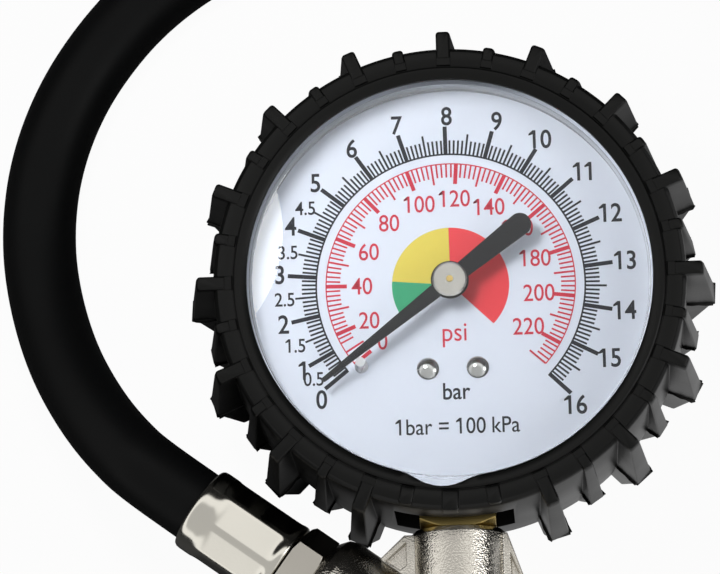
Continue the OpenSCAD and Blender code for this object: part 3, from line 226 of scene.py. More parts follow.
# %% [markdown]
# ## The hose
# A rubber hose is stiff: it leaves its ferrule straight, comes down to the table, and lies in
# wide bends. A curve object with a round bevel could make it, but its length is then hard to
# tell. Here its middle line goes through chosen points, a smooth curve between them gives the
# rings of a round tube, and the length is measured along the same line.

# %% Helpers that make meshes
def link_mesh(name, verts, faces, material, smooth_angle=35):
    """A mesh object at the origin, in metres from millimetres, smooth up to an angle."""
    mesh = bpy.data.meshes.new(name)
    mesh.from_pydata([Vector(v) * MM for v in verts], [], faces)
    mesh.validate()
    mesh.materials.append(material)
    thing = bpy.data.objects.new(name, mesh)
    bpy.context.scene.collection.objects.link(thing)
    soften(thing, smooth_angle)
    return thing


def soften(thing, smooth_angle):
    """Smooth shading, with edges kept sharp where faces meet at more than an angle."""
    mesh = thing.data
    mesh.polygons.foreach_set("use_smooth", [True] * len(mesh.polygons))
    mesh.set_sharp_from_angle(angle=math.radians(smooth_angle))


print("mesh helpers are ready; one millimetre is", MM, "metres")

# %% Hose
HOSE_RADIUS = 7.0
HOSE_SIDES = 40
HOSE_STEPS = 5
HOSE_START = (-34.12, -48.74, 20.0)
HOSE_MOUTH = (-48.09, -38.50, 20.0)
HOSE_END = (85.0, -110.0, 8.4)
HOSE_ROUTE = [
    HOSE_START, HOSE_MOUTH,
    (-57.9, -31.0, 19.6), (-62.4, -26.6, 18.3), (-66.6, -21.4, 16.6), (-70.4, -15.4, 14.6),
    (-73.7, -8.8, 12.4), (-76.3, -1.6, 10.3), (-78.2, 6.2, 8.6), (-79.2, 14.0, 7.5),
    (-79.1, 22.0, 7.1), (-77.9, 30.0, 7.1), (-75.5, 38.0, 7.1), (-71.9, 45.8, 7.1),
    (-67.1, 53.2, 7.1), (-61.2, 60.2, 7.1), (-54.4, 66.2, 7.1), (-46.8, 71.2, 7.1),
    (-38.4, 75.2, 7.1), (-29.4, 78.0, 7.1), (-20.0, 79.7, 7.1), (-10.4, 80.6, 7.1),
    (0.0, 81.0, 7.1), (10.2, 81.0, 7.1), (20.4, 80.7, 7.1), (30.4, 79.6, 7.1),
    (40.0, 77.2, 7.1), (49.2, 73.3, 7.1), (57.8, 68.1, 7.1), (65.5, 61.5, 7.1),
    (72.0, 53.8, 7.1), (77.2, 45.2, 7.1), (81.0, 35.9, 7.1), (83.5, 26.0, 7.1),
    (84.7, 15.8, 7.1), (85.0, 5.5, 7.1), (85.0, -8.0, 7.1), (85.0, -22.0, 7.2),
    (85.0, -36.0, 7.4), (85.0, -50.0, 7.7), (85.0, -64.0, 8.1), (85.0, -78.0, 8.4),
    (85.0, -92.8, 8.4), HOSE_END]


def smooth_path(points, steps):
    """Points on a curve through the given ones, a few between each pair."""
    points = [Vector(p) for p in points]
    path = []
    for i in range(len(points) - 1):
        before = points[max(i - 1, 0)]
        after = points[min(i + 2, len(points) - 1)]
        a, b = points[i], points[i + 1]
        for k in range(steps):
            t = k / steps
            path.append(0.5 * (2 * a + (b - before) * t
                               + (2 * before - 5 * a + 4 * b - after) * t * t
                               + (3 * a - before - 3 * b + after) * t * t * t))
    return path + [points[-1]]


def tube(path, radius, sides):
    """Rings of a round tube and its closed ends."""
    verts, faces = [], []
    count = len(path)
    for i, p in enumerate(path):
        along = (path[min(i + 1, count - 1)] - path[max(i - 1, 0)]).normalized()
        u = Vector((0, 0, 1)).cross(along).normalized()
        v = along.cross(u)
        for k in range(sides):
            a = 2 * math.pi * k / sides
            verts.append(p + radius * (math.cos(a) * u + math.sin(a) * v))
    for i in range(count - 1):
        for k in range(sides):
            j = (k + 1) % sides
            faces.append((i * sides + k, i * sides + j, (i + 1) * sides + j,
                          (i + 1) * sides + k))
    faces.append(tuple(range(sides - 1, -1, -1)))
    faces.append(tuple((count - 1) * sides + k for k in range(sides)))
    return verts, faces


hose_path = smooth_path(HOSE_ROUTE, HOSE_STEPS)
hose_length = sum((a - b).length for a, b in zip(hose_path, hose_path[1:]))
hose_verts, hose_faces = tube(hose_path, HOSE_RADIUS, HOSE_SIDES)
hose = link_mesh("rubber_hose", hose_verts, hose_faces, FINISHES["hose_rubber"])
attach(hose, "inflator")
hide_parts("hose")
print("the hose is", round(hose_length), "mm long")

# %% [markdown]
# ## Repeats round the dial's axis
# Tread blocks and scale marks are the same thing many times, turned by equal steps. An Array
# modifier with an empty would need one empty for each step angle. One tree of geometry nodes
# takes a single block or mark, a count and two angles, and sets copies of it round the Z axis.

# %% Geometry nodes that set copies round the axis
def make_round_tree():
    """A point for each copy, all on the axis; each point's index gives its copy's turn."""
    tree = bpy.data.node_groups.new("copies round the axis", "GeometryNodeTree")
    new_socket = tree.interface.new_socket
    new_socket("Piece", in_out="INPUT", socket_type="NodeSocketGeometry")
    new_socket("Count", in_out="INPUT", socket_type="NodeSocketInt")
    new_socket("First angle", in_out="INPUT", socket_type="NodeSocketFloat")
    new_socket("Step", in_out="INPUT", socket_type="NodeSocketFloat")
    new_socket("Material", in_out="INPUT", socket_type="NodeSocketMaterial")
    new_socket("Copies", in_out="OUTPUT", socket_type="NodeSocketGeometry")
    node, link = tree.nodes.new, tree.links.new
    source, result = node("NodeGroupInput"), node("NodeGroupOutput")
    points, index = node("GeometryNodePoints"), node("GeometryNodeInputIndex")
    turn, angle = node("ShaderNodeMath"), node("ShaderNodeCombineXYZ")
    turn.operation = "MULTIPLY_ADD"
    place = node("GeometryNodeInstanceOnPoints")
    real, paint = node("GeometryNodeRealizeInstances"), node("GeometryNodeSetMaterial")
    link(source.outputs["Count"], points.inputs["Count"])
    link(index.outputs["Index"], turn.inputs[0])
    link(source.outputs["Step"], turn.inputs[1])
    link(source.outputs["First angle"], turn.inputs[2])
    link(turn.outputs[0], angle.inputs["Z"])
    link(points.outputs[0], place.inputs["Points"])
    link(source.outputs["Piece"], place.inputs["Instance"])
    link(angle.outputs[0], place.inputs["Rotation"])
    link(place.outputs[0], real.inputs[0])
    link(real.outputs[0], paint.inputs["Geometry"])
    link(source.outputs["Material"], paint.inputs["Material"])
    link(paint.outputs[0], result.inputs["Copies"])
    return tree


round_tree = make_round_tree()
print("the tree that sets copies round the axis has", len(round_tree.nodes), "nodes")


# %% Helpers that use the tree
def set_inputs(modifier, **values):
    """Sets a modifier's inputs by name, with _ for a space."""
    for item in modifier.node_group.interface.items_tree:
        key = item.name.replace(" ", "_")
        if item.item_type == "SOCKET" and item.in_out == "INPUT" and key in values:
            modifier[item.identifier] = values[key]


def make_plain(thing):
    """Turns what the modifiers make into the object's own mesh."""
    graph = bpy.context.evaluated_depsgraph_get()
    graph.update()
    mesh = bpy.data.meshes.new_from_object(thing.evaluated_get(graph))
    thing.modifiers.clear()
    old = thing.data
    thing.data = mesh
    bpy.data.meshes.remove(old)
    return thing


def copies_round(name, verts, faces, count, first, step, material, smooth=35):
    """Copies of one piece, the first at an angle in degrees and each next one a step on."""
    thing = link_mesh(name, verts, faces, material, smooth)
    copies = thing.modifiers.new("copies", "NODES")
    copies.node_group = round_tree
    set_inputs(copies, Count=count, First_angle=math.radians(first),
               Step=math.radians(step), Material=material)
    make_plain(thing)
    soften(thing, smooth)
    return thing


def join(name, things):
    """Several objects as one, with their meshes and materials kept."""
    whole = bmesh.new()
    mesh = bpy.data.meshes.new(name)
    materials = []
    for thing in things:
        offset = len(materials)
        materials += list(thing.data.materials)
        before = len(whole.faces)
        whole.from_mesh(thing.data)
        whole.faces.ensure_lookup_table()
        for face in whole.faces[before:]:
            face.material_index += offset
    whole.to_mesh(mesh)
    whole.free()
    for material in materials:
        mesh.materials.append(material)
    for thing in things:
        bpy.data.objects.remove(thing)
    joined = bpy.data.objects.new(name, mesh)
    bpy.context.scene.collection.objects.link(joined)
    return joined


print("copies and joins can be made")

# %% [markdown]
# ## The boot
# The rubber boot is moulded in two halves that meet at a line low on the tread. A block is a
# narrow bar on the front face and is widest at that line, where a ragged film of flash is left.
# Displacing a plain ring would soften the blocks' edges and could not make the flash. So one
# block is a stack of level sections, drawn by its outer radius, width and height, and the tree
# sets copies of it round a band that is turned from its own section. Where the gauge's neck
# leaves the boot, the band has a cut-out and a wider window, and the last bars are short.

# %% The boot's band
BOOT_HEIGHT = 38.6
FACE = 38.1
PARTING = 15.44
LIP_INSIDE, LIP_OUTSIDE, LIP_FROM = 37.3, 39.3, 37.3
NOTCH_TURN, NOTCH_HALF, NOTCH_DEPTH, NOTCH_CURVE = -3.9, 10.8, 1.95, 1.4
CUT_OUT = ((-7.2, -60.0, 12.6), (7.2, -30.0, 30.6))
SIDE_WINDOWS = ((-11.5, -60.0, 16.5), (10.4, -30.0, 30.6))


def slab(outline, low, high):
    """A closed prism over an outline that runs counter-clockwise."""
    count = len(outline)
    verts = [(p[0], p[1], low) for p in outline] + [(p[0], p[1], high) for p in outline]
    faces = [tuple(range(count - 1, -1, -1)), tuple(range(count, 2 * count))]
    faces += [(i, (i + 1) % count, count + (i + 1) % count, count + i) for i in range(count)]
    return verts, faces


def turned(name, profile, material, steps=192, smooth=30):
    """A closed solid turned round the Z axis from a section of radii and heights."""
    verts = [(0, 0, profile[0][1])]
    faces = []
    rings = profile[1:-1]
    n = len(rings)
    for i in range(steps):
        a = 2 * math.pi * i / steps
        verts += [(r * math.cos(a), r * math.sin(a), z) for r, z in rings]
    verts.append((0, 0, profile[-1][1]))
    last = len(verts) - 1
    for i in range(steps):
        j = (i + 1) % steps
        faces.append((0, 1 + i * n, 1 + j * n))
        faces += [(1 + i * n + k, 1 + i * n + k + 1, 1 + j * n + k + 1, 1 + j * n + k)
                  for k in range(n - 1)]
        faces.append((i * n + n, last, j * n + n))
    thing = link_mesh(name, verts, faces, material, smooth)
    return face_outward(thing)


def face_outward(thing):
    """Turns every face of a closed mesh outwards."""
    work = bmesh.new()
    work.from_mesh(thing.data)
    bmesh.ops.recalc_face_normals(work, faces=work.faces)
    work.to_mesh(thing.data)
    work.free()
    return thing


def cut_box(thing, low, high):
    """Cuts a box out of a solid."""
    outline = [(low[0], low[1]), (high[0], low[1]), (high[0], high[1]), (low[0], high[1])]
    cutter = link_mesh("cutter", *slab(outline, low[2], high[2]), thing.data.materials[0])
    face_outward(cutter)
    cut = thing.modifiers.new("cut", "BOOLEAN")
    cut.operation, cut.solver, cut.object = "DIFFERENCE", "EXACT", cutter
    make_plain(thing)
    bpy.data.objects.remove(cutter)
    return thing


def notch_lip(thing):
    """Opens the lip a little over the neck, where the lens shows its edge."""
    for v in thing.data.vertices:
        x, y, z = v.co / MM
        radius = math.hypot(x, y)
        if z > LIP_FROM and radius < LIP_OUTSIDE:
            away = (math.degrees(math.atan2(y, x)) + 90 - NOTCH_TURN) / NOTCH_HALF
            if abs(away) < 1:
                rise = math.cos(away * math.pi / 2) ** NOTCH_CURVE
                wanted = LIP_INSIDE + NOTCH_DEPTH * rise
                if radius < wanted:
                    v.co.x *= wanted / radius
                    v.co.y *= wanted / radius


rubber = FINISHES["boot"]
band = turned("boot band", [
    (0, 0), (40.2, 0), (41.6, 0.5), (42.6, 1.6), (43.9, PARTING), (43.5, 36.7), (43.2, 37.5),
    (42.65, 38.0), (42.1, FACE), (40.2, FACE), (39.8, 37.95), (39.65, FACE), (39.6, 38.45),
    (39.35, BOOT_HEIGHT), (38.9, BOOT_HEIGHT), (37.65, 38.25), (37.35, 38.0),
    (LIP_INSIDE, 37.75), (LIP_INSIDE, 37.4), (40.1, 37.4), (40.1, 2.4), (0, 2.4)], rubber)
notch_lip(band)
cut_box(band, *CUT_OUT)
cut_box(band, *SIDE_WINDOWS)
soften(band, 30)
print("the band has", len(band.data.polygons), "faces")

# %% Tread blocks
BLOCK_ROOT = 41.4
BLOCK_STEP = 22.5
BLOCK_SMOOTH = 28


def block_section(outer, width, z, corner=0.5, root=BLOCK_ROOT, ragged=0.0, seed=0):
    """One level section of a tread block that points along +X: its outer corners are round."""
    chance = random.Random(seed)
    points = [(root, -width / 2)]
    sides = 6 if ragged else 0
    for k in range(1, sides):
        points.append((root + (outer - corner - root) * k / sides, -width / 2))
    for side in (-1, 1):
        middle = (outer - corner, side * (width / 2 - corner))
        for k in range(4):
            a = math.radians(30 * k - 90 if side < 0 else 30 * k)
            points.append((middle[0] + corner * math.cos(a), middle[1] + corner * math.sin(a)))
    for k in range(sides - 1, 0, -1):
        points.append((root + (outer - corner - root) * k / sides, width / 2))
    points.append((root, width / 2))
    return [(x - ragged * chance.random(), y * (1 - ragged * chance.random() / width), z)
            for x, y in points]


def stack(sections):
    """A closed solid through level sections, from the lowest up."""
    n = len(sections[0])
    verts = [p for ring in sections for p in ring]
    faces = [tuple(range(n - 1, -1, -1))]
    for i in range(len(sections) - 1):
        faces += [(i * n + k, i * n + (k + 1) % n, (i + 1) * n + (k + 1) % n, (i + 1) * n + k)
                  for k in range(n)]
    faces.append(tuple(range((len(sections) - 1) * n, len(sections) * n)))
    return verts, faces


def solids(*stacks):
    """Several closed solids in one list of points and faces."""
    verts, faces = [], []
    for new_verts, new_faces in stacks:
        base = len(verts)
        verts += new_verts
        faces += [tuple(base + i for i in face) for face in new_faces]
    return verts, faces


def tread_block(small, seed):
    """Front half, rear half, the flash between them and the low end of the bar."""
    drop, share = (2.6, 0.8) if small else (0.0, 1.0)
    mid_r, mid_w = 49.15 - drop, 3.7 * share
    front = stack([
        block_section(mid_r, mid_w, PARTING, 0.35),
        block_section(46.75 - drop, 2.65 * share, 36.6, 0.5),
        block_section(46.5 - drop, 2.6 * share, 38.0, 0.6),
        block_section(46.3 - drop, 2.3 * share, 38.35, 0.6),
        block_section(46.0 - drop, 1.9 * share, 38.5, 0.5)])
    rear = stack([
        block_section(45.0 - drop, 3.4 * share, 0.3, 0.6),
        block_section(45.5 - drop, 3.7 * share, 0.9, 0.6),
        block_section(mid_r - 0.15, mid_w - 0.2, PARTING, 0.35)])
    flash = stack([
        block_section(mid_r + 0.1, mid_w + 0.4, PARTING - 0.5, 0.4, ragged=0.3, seed=seed),
        block_section(mid_r + 0.3, mid_w + 1.1, PARTING - 0.15, 0.4, ragged=0.6, seed=seed),
        block_section(mid_r + 0.3, mid_w + 1.1, PARTING + 0.15, 0.4, ragged=0.6, seed=seed),
        block_section(mid_r, mid_w + 0.3, PARTING + 0.5, 0.4, ragged=0.3, seed=seed)])
    return solids(front, rear, flash, bar_step(share))


def bar_step(share):
    """The low inner end of a bar, on the front face."""
    wide = 2.7 * share
    return stack([block_section(42.0, wide, 37.9, 0.3, root=39.9),
                  block_section(41.9, wide - 0.2, 38.28, 0.3, root=40.05)])


def short_bar(width, outer):
    """A bar on the front face alone, where the boot opens for the neck."""
    return stack([
        block_section(outer + 0.1, width, 35.6, 0.5, root=40.4),
        block_section(outer, width, 38.0, 0.6, root=39.9),
        block_section(outer - 0.1, width - 0.2, 38.35, 0.6, root=40.0),
        block_section(outer - 0.4, width - 0.6, 38.5, 0.5, root=40.3)])


blocks = [
    copies_round("big blocks", *tread_block(False, 1), 8, 292.5, 2 * BLOCK_STEP, rubber,
                 BLOCK_SMOOTH),
    copies_round("big blocks", *tread_block(False, 2), 7, 315, 2 * BLOCK_STEP, rubber,
                 BLOCK_SMOOTH),
    copies_round("small blocks", *tread_block(True, 3), 14, 303.75, BLOCK_STEP, rubber,
                 BLOCK_SMOOTH),
    copies_round("bars", *short_bar(3.1, 43.7), 1, 268.7, BLOCK_STEP, rubber, BLOCK_SMOOTH),
    copies_round("bars", *short_bar(2.6, 43.2), 2, 257.7, 22.0, rubber, BLOCK_SMOOTH)]
print("made", len(blocks), "sets of blocks and bars")

# %% The whole boot
boot = face_outward(join("tread_boot", [band] + blocks))
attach(boot, "inflator")
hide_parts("boot")
print("the boot has", len(boot.data.polygons), "faces")

# %% [markdown]
# ## The crimped ferrule
# A ferrule is a round sleeve until a press squeezes eight flats into its middle, which leaves
# its two ends round. An eight-sided cylinder would lose those ends, and a sculpted one would be
# hard to repeat. So its section is a mix of a circle and an octagon, and the share of each
# changes along the sleeve.

# %% Ferrule
FERRULE_R = 8.3
FLAT_R = 7.7
FERRULE_ROLL = 6.0
FERRULE_FROM, FERRULE_TO = 40.0, 59.6
FLAT_STEP = 45.0
CRIMP_FROM, CRIMP_TO = FERRULE_FROM + 1.0, FERRULE_TO - 3.2
INNER_RAMP, MOUTH_RAMP = 1.8, 2.6
OUTLET_CENTRE = Vector((0, -73.7, 20))
OUTLET_TURN = math.radians(143.8)


def ease(x):
    """A smooth step from 0 to 1."""
    x = max(0.0, min(1.0, x))
    return x * x * (3 - 2 * x)


def ferrule_radius(s, angle, round_r):
    """Radius of the sleeve at a distance along it and an angle from straight up."""
    squeezed = ease((s - CRIMP_FROM) / INNER_RAMP) * ease((CRIMP_TO - s) / MOUTH_RAMP)
    off = (angle - FERRULE_ROLL + FLAT_STEP / 2) % FLAT_STEP - FLAT_STEP / 2
    flat = min(round_r, FLAT_R / math.cos(math.radians(off)))
    return round_r + (flat - round_r) * squeezed


def ferrule(name, origin, along):
    """The sleeve: its outside, its mouth round the hose, its bore and its inner end."""
    up = Vector((0, 0, 1))
    side = along.cross(up)
    sides = 96
    low, high = FERRULE_FROM, FERRULE_TO
    outside = [(low, 7.7), (low + 0.1, 8.0), (low + 0.4, 8.25), (low + 0.8, FERRULE_R)]
    outside += [(low + 1.0 + 0.4 * k, FERRULE_R) for k in range(43)]
    outside += [(high - 1.2, FERRULE_R), (high - 0.5, 8.22), (high - 0.15, 8.0), (high, 7.6)]
    inside = [(high, 7.3), (high - 0.2, 7.1), (low + 1.8, 7.1), (low + 1.8, 3.45), (low, 3.45)]
    verts = []
    for s, r in outside + inside:
        for k in range(sides):
            a = 360.0 * k / sides
            radius = ferrule_radius(s, a, r) if (s, r) in outside else r
            turn = math.radians(a)
            verts.append(origin + along * s
                         + radius * (math.cos(turn) * up + math.sin(turn) * side))
    n = len(outside) + len(inside)
    faces = [(i * sides + k, i * sides + (k + 1) % sides,
              (i + 1) % n * sides + (k + 1) % sides, (i + 1) % n * sides + k)
             for i in range(n) for k in range(sides)]
    return face_outward(link_mesh(name, verts, faces, FINISHES["ferrule_steel"], 40))


sleeve = ferrule("crimped_ferrule", OUTLET_CENTRE,
                 Vector((math.cos(OUTLET_TURN), math.sin(OUTLET_TURN), 0)))
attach(sleeve, "inflator")
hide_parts("gun_ferrule")
print("the ferrule has", len(sleeve.data.polygons), "faces")

# %% [markdown]
# ## The printed dial
# The scales are printed on white enamel: bar outside in black, psi inside in red, and three
# coloured zones round the shaft. A picture would blur up close, so each mark is a closed solid a
# few hundredths of a millimetre high, set on the dial. The pointer moves evenly with pressure
# above one bar, and the first bar is squeezed. The whole print sits a little turned on the dial,
# and some numbers stand a little off their marks, so each of these offsets has its own value.

# %% Inks and the angle of each pressure
DIAL_TOP = 30.0
INK = 0.03
SCALE_R = 24.8
DIAL_TURN = -0.55
NUMBER_SHIFT = Vector((0.4, 0.1, 0))
HALF_SHIFT = Vector((-0.25, 0, 0))
EXTRA_SHIFT = {0: (0.4, -0.9, 0), 10: (-0.6, 0.2, 0), 16: (-1.0, -0.9, 0)}
FULL_BAR = 16.0
TOP_BAR = 8.0
DEGREES_A_BAR = 16.875
ZERO_ANGLE = -128.1
FIRST_BAR_DEGREES = 10.0
BAR_PER_PSI = 1 / 14.5038

black_ink = finish("black ink", (0.01, 0.012, 0.02), rough=0.6, tone=0.05, bump=0.02,
                   Specular_IOR_Level=0.1)
red_ink = finish("red ink", (0.60, 0.03, 0.06), rough=0.6, tone=0.04, bump=0.02,
                 Specular_IOR_Level=0.1)
ZONE_INKS = {
    "green": finish("green ink", (0.01, 0.34, 0.15), rough=0.5, tone=0.04, bump=0.02),
    "yellow": finish("yellow ink", (0.72, 0.58, 0.07), rough=0.5, tone=0.04, bump=0.02),
    "red": finish("zone red ink", (0.80, 0.03, 0.045), rough=0.5, tone=0.04, bump=0.02),
}


def clock_angle(bar):
    """Degrees clockwise from the top of the dial at a pressure."""
    if bar >= 1:
        return (bar - TOP_BAR) * DEGREES_A_BAR + DIAL_TURN
    return ZERO_ANGLE + FIRST_BAR_DEGREES * bar + DIAL_TURN


def dial_point(bar, radius):
    """The point of the dial at a pressure and a radius."""
    a = math.radians(90 - clock_angle(bar))
    return Vector((radius * math.cos(a), radius * math.sin(a), 0))


def mark(inner, outer, width, lift):
    """One mark of a scale, along +X."""
    outline = [(inner, -width / 2), (outer, -width / 2), (outer, width / 2), (inner, width / 2)]
    return slab(outline, DIAL_TOP, DIAL_TOP + lift)


def arc(name, first_bar, last_bar, inner, outer, material, lift=INK, steps=96):
    """A band of ink between two pressures and two radii."""
    rim = [clock_angle(first_bar) + (clock_angle(last_bar) - clock_angle(first_bar)) * i / steps
           for i in range(steps + 1)]
    rim = [math.radians(90 - a) for a in rim]
    verts = []
    for z in (DIAL_TOP, DIAL_TOP + lift):
        for r in (inner, outer):
            verts += [(r * math.cos(a), r * math.sin(a), z) for a in rim]
    n = steps + 1
    faces = []
    for i in range(steps):
        j = i + 1
        faces += [(i, j, n + j, n + i), (2 * n + i, 3 * n + i, 3 * n + j, 2 * n + j),
                  (i, 2 * n + i, 2 * n + j, j), (n + i, n + j, 3 * n + j, 3 * n + i)]
    faces += [(0, n, 3 * n, 2 * n), (n - 1, 3 * n - 1, 4 * n - 1, 2 * n - 1)]
    return link_mesh(name, verts, faces, material, 30)


print("zero is printed at", round(clock_angle(0), 1), "degrees from the top")

# %% [markdown]
# ## Marks and arcs
# A scale has over a hundred equal steps, so the tree that turned the tread blocks sets its marks
# too. Radii are given as shares of the bar line's radius. Wider marks stand a little higher, so
# that no two faces lie in one plane where marks meet.

# %% Marks and arcs
def marks(name, start, step, count, inner, outer, width, material):
    """Marks at equal steps of pressure; the wider ones lie over the narrower ones."""
    turn = -(clock_angle(start + step) - clock_angle(start))
    lift = INK * (1 + width)
    verts, faces = mark(inner * SCALE_R, outer * SCALE_R, width, lift)
    return copies_round(name, verts, faces, count, 90 - clock_angle(start), turn, material)


black_marks = [
    arc("bar line", 0, FULL_BAR, 0.998 * SCALE_R, 1.011 * SCALE_R, black_ink),
    marks("tenths", 1.0, 0.1, 151, 1.0, 1.1125, 0.36, black_ink),
    marks("first sixths", 1 / 6, 1 / 6, 5, 1.0, 1.1125, 0.36, black_ink),
    marks("halves", 1.5, 1.0, 15, 1.0, 1.165, 0.38, black_ink),
    marks("wholes", 1.0, 1.0, 16, 1.0, 1.22, 0.76, black_ink),
    marks("zero", 0.0, 0.5, 1, 1.0, 1.22, 0.76, black_ink),
]
PSI_10 = 10 * BAR_PER_PSI
red_marks = [
    arc("psi line", 0, 230 * BAR_PER_PSI, 0.926 * SCALE_R, 0.935 * SCALE_R, red_ink),
    marks("psi twos", 16 * BAR_PER_PSI, 2 * BAR_PER_PSI, 108, 0.825, 0.93, 0.32, red_ink),
    marks("psi tens", 2 * PSI_10, PSI_10, 22, 0.775, 0.93, 0.36, red_ink),
    marks("psi twenties", 2 * PSI_10, 2 * PSI_10, 11, 0.775, 0.93, 0.72, red_ink),
    marks("psi zero", 0.0, 0.5, 1, 0.775, 0.93, 0.72, red_ink),
    marks("psi ten", PSI_10, 0.2, 1, 0.775, 0.93, 0.36, red_ink),
]
print("made", len(black_marks) + len(red_marks), "rows of marks and lines")

# %% [markdown]
# ## Numbers and words
# Lettering is a font curve turned into a mesh, which keeps its outline sharp. The built-in font
# draws the figure one as a bare stem, so a small flag is added at its head.

# %% Numbers and words
CAP_HEIGHT = 0.62
STEM_SHARE = 0.25
FLAG_REACH, FLAG_TIP, FLAG_FOOT, FLAG_ROOT = 0.25, 0.19, 0.29, 0.22
PRINT_GAP = 0.002


def add_flags(mesh):
    """Gives each figure one, which this font draws as a bare stem, the flag at its head."""
    work = bmesh.new()
    work.from_mesh(mesh)
    seen = set()
    for start in list(work.verts):
        if start in seen:
            continue
        island, waiting = set(), [start]
        while waiting:
            v = waiting.pop()
            if v not in island:
                island.add(v)
                waiting += [e.other_vert(v) for e in v.link_edges]
        seen |= island
        left, right = min(v.co.x for v in island), max(v.co.x for v in island)
        top, foot = max(v.co.y for v in island), min(v.co.y for v in island)
        height = top - foot
        if height > 0.9 * CAP_HEIGHT and right - left < STEM_SHARE * height:
            tip = left - FLAG_REACH * height
            flag = [(left, top), (tip, top - FLAG_TIP * height),
                    (tip, top - FLAG_FOOT * height), (left, top - FLAG_ROOT * height)]
            verts, faces = slab(flag, -0.5, 0.5)
            corners = [work.verts.new(v) for v in verts]
            seen |= set(corners)
            for face in faces:
                work.faces.new([corners[i] for i in face])
    work.to_mesh(mesh)
    work.free()


def words(text, x, y, height, material, narrow=0.88, bold=0.0):
    """Flat raised lettering, centred on a point of the dial."""
    data = bpy.data.curves.new("words", "FONT")
    data.body = text
    data.size = 1.0
    data.align_x, data.align_y = "CENTER", "CENTER"
    data.extrude = 0.5
    data.offset = bold
    data.resolution_u = 6
    thing = bpy.data.objects.new("words", data)
    bpy.context.scene.collection.objects.link(thing)
    graph = bpy.context.evaluated_depsgraph_get()
    graph.update()
    mesh = bpy.data.meshes.new_from_object(thing.evaluated_get(graph))
    bpy.data.objects.remove(thing)
    if text[0].isdigit():
        add_flags(mesh)
    scale = height / CAP_HEIGHT
    xs = [v.co.x for v in mesh.vertices]
    ys = [v.co.y for v in mesh.vertices]
    middle = Vector(((min(xs) + max(xs)) / 2, (min(ys) + max(ys)) / 2, 0))
    for v in mesh.vertices:
        p = v.co - middle
        v.co = Vector((x + p.x * scale * narrow, y + p.y * scale,
                       DIAL_TOP + INK * (p.z + 0.5) + PRINT_GAP)) * MM
    mesh.materials.clear()
    mesh.materials.append(material)
    printed = bpy.data.objects.new("words", mesh)
    bpy.context.scene.collection.objects.link(printed)
    return printed


def label(text, bar, radius, height, material, bold, shift=Vector()):
    """A number beside its mark, with a shift of its own."""
    p = dial_point(bar, radius * SCALE_R) + shift
    return words(text, p.x, p.y, height, material, bold=bold)


for bar in range(0, 17):
    shift = NUMBER_SHIFT + Vector(EXTRA_SHIFT.get(bar, (0, 0, 0)))
    black_marks.append(label(str(bar), bar, 1.297, 3.05, black_ink, 0.014, shift))
for bar in (0.5, 1.5, 2.5, 3.5, 4.5):
    black_marks.append(label(str(bar), bar, 1.235, 2.25, black_ink, 0.01, HALF_SHIFT))
for psi in range(0, 221, 20):
    red_marks.append(label(str(psi), psi * BAR_PER_PSI, 0.6625, 2.8, red_ink, 0.004))
black_marks.append(words("bar", 0.6, -20.1, 2.75, black_ink, bold=0.01))
black_marks.append(words("1bar = 100", -2.55, -26.6, 2.65, black_ink, bold=0.004))
black_marks.append(words("kPa", 9.5, -26.6, 2.65, black_ink, bold=0.004))
red_marks.append(words("psi", 0.5, -9.6, 3.15, red_ink))

bar_print = join("bar_scale_print", black_marks)
psi_print = join("psi_scale_print", red_marks)
ZONE_INSIDE, ZONE_OUTSIDE, ZONE_LIFT = 0.02, 10.85, 0.6 * INK
zones = join("zone_print", [
    arc("zone " + name, first, last, ZONE_INSIDE, ZONE_OUTSIDE, ZONE_INKS[name], ZONE_LIFT, steps)
    for name, first, last, steps in (("green", 1, 3, 12), ("yellow", 3, 8, 30),
                                     ("red", 8, 16, 48))])
for piece in (bar_print, psi_print, zones):
    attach(piece, "inflator")
print("the print has", sum(len(p.data.polygons) for p in (bar_print, psi_print, zones)), "faces")

# %% [markdown]
# ## The window
# The clear window stands on a thick skirt of its own, which holds the dial down. Seen through
# the window, that skirt draws the fine double line round the dial. The piece could be a disc and
# a ring, but two touching solids of glass show a false line between them, so it is one closed
# section, turned round the dial's axis. A ring of points just inside the rounded corner keeps
# the shading of the whole underside flat, or it would mirror like a dish.

# %% Window
SKIRT_INSIDE = 37.0
SKIRT_OUTSIDE = 38.9
PLATE = 1.6
CORNER, CORNER_CUT = 0.4, 0.1


def window():
    """Plate and skirt in one, as high and as wide as the solid that it replaces."""
    low, high = (Vector(corner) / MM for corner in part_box("lens"))
    under, top, rim = high.z - PLATE, high.z, high.x
    profile = [(0, under), (SKIRT_INSIDE - 2 * CORNER, under), (SKIRT_INSIDE - CORNER, under),
               (SKIRT_INSIDE - CORNER_CUT, under - CORNER_CUT), (SKIRT_INSIDE, under - CORNER),
               (SKIRT_INSIDE, low.z), (SKIRT_OUTSIDE, low.z), (SKIRT_OUTSIDE, under),
               (rim, under), (rim, top), (0, top)]
    return turned("window", profile, FINISHES["lens"])


glass = window()
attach(glass, "inflator")
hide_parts("lens")
print("the window has", len(glass.data.polygons), "faces")

# %% [markdown]
# ## The table
# The inflator lies on a white table. A plain white plane would turn grey where the light is weak,
# so the camera sees most of it as plain white, and a small share of the real plane keeps the
# object's shadow. Polished metal sees it as a card that is pale at the lower right and dark at
# the left, which gives nickel its dark and bright bands.

# %% Table
CARD_SIDE = (0.75, -0.66, 0)
CARD_EDGE = 0.06
CARD_SHARE, WHITE_SHARE = 0.85, 0.96


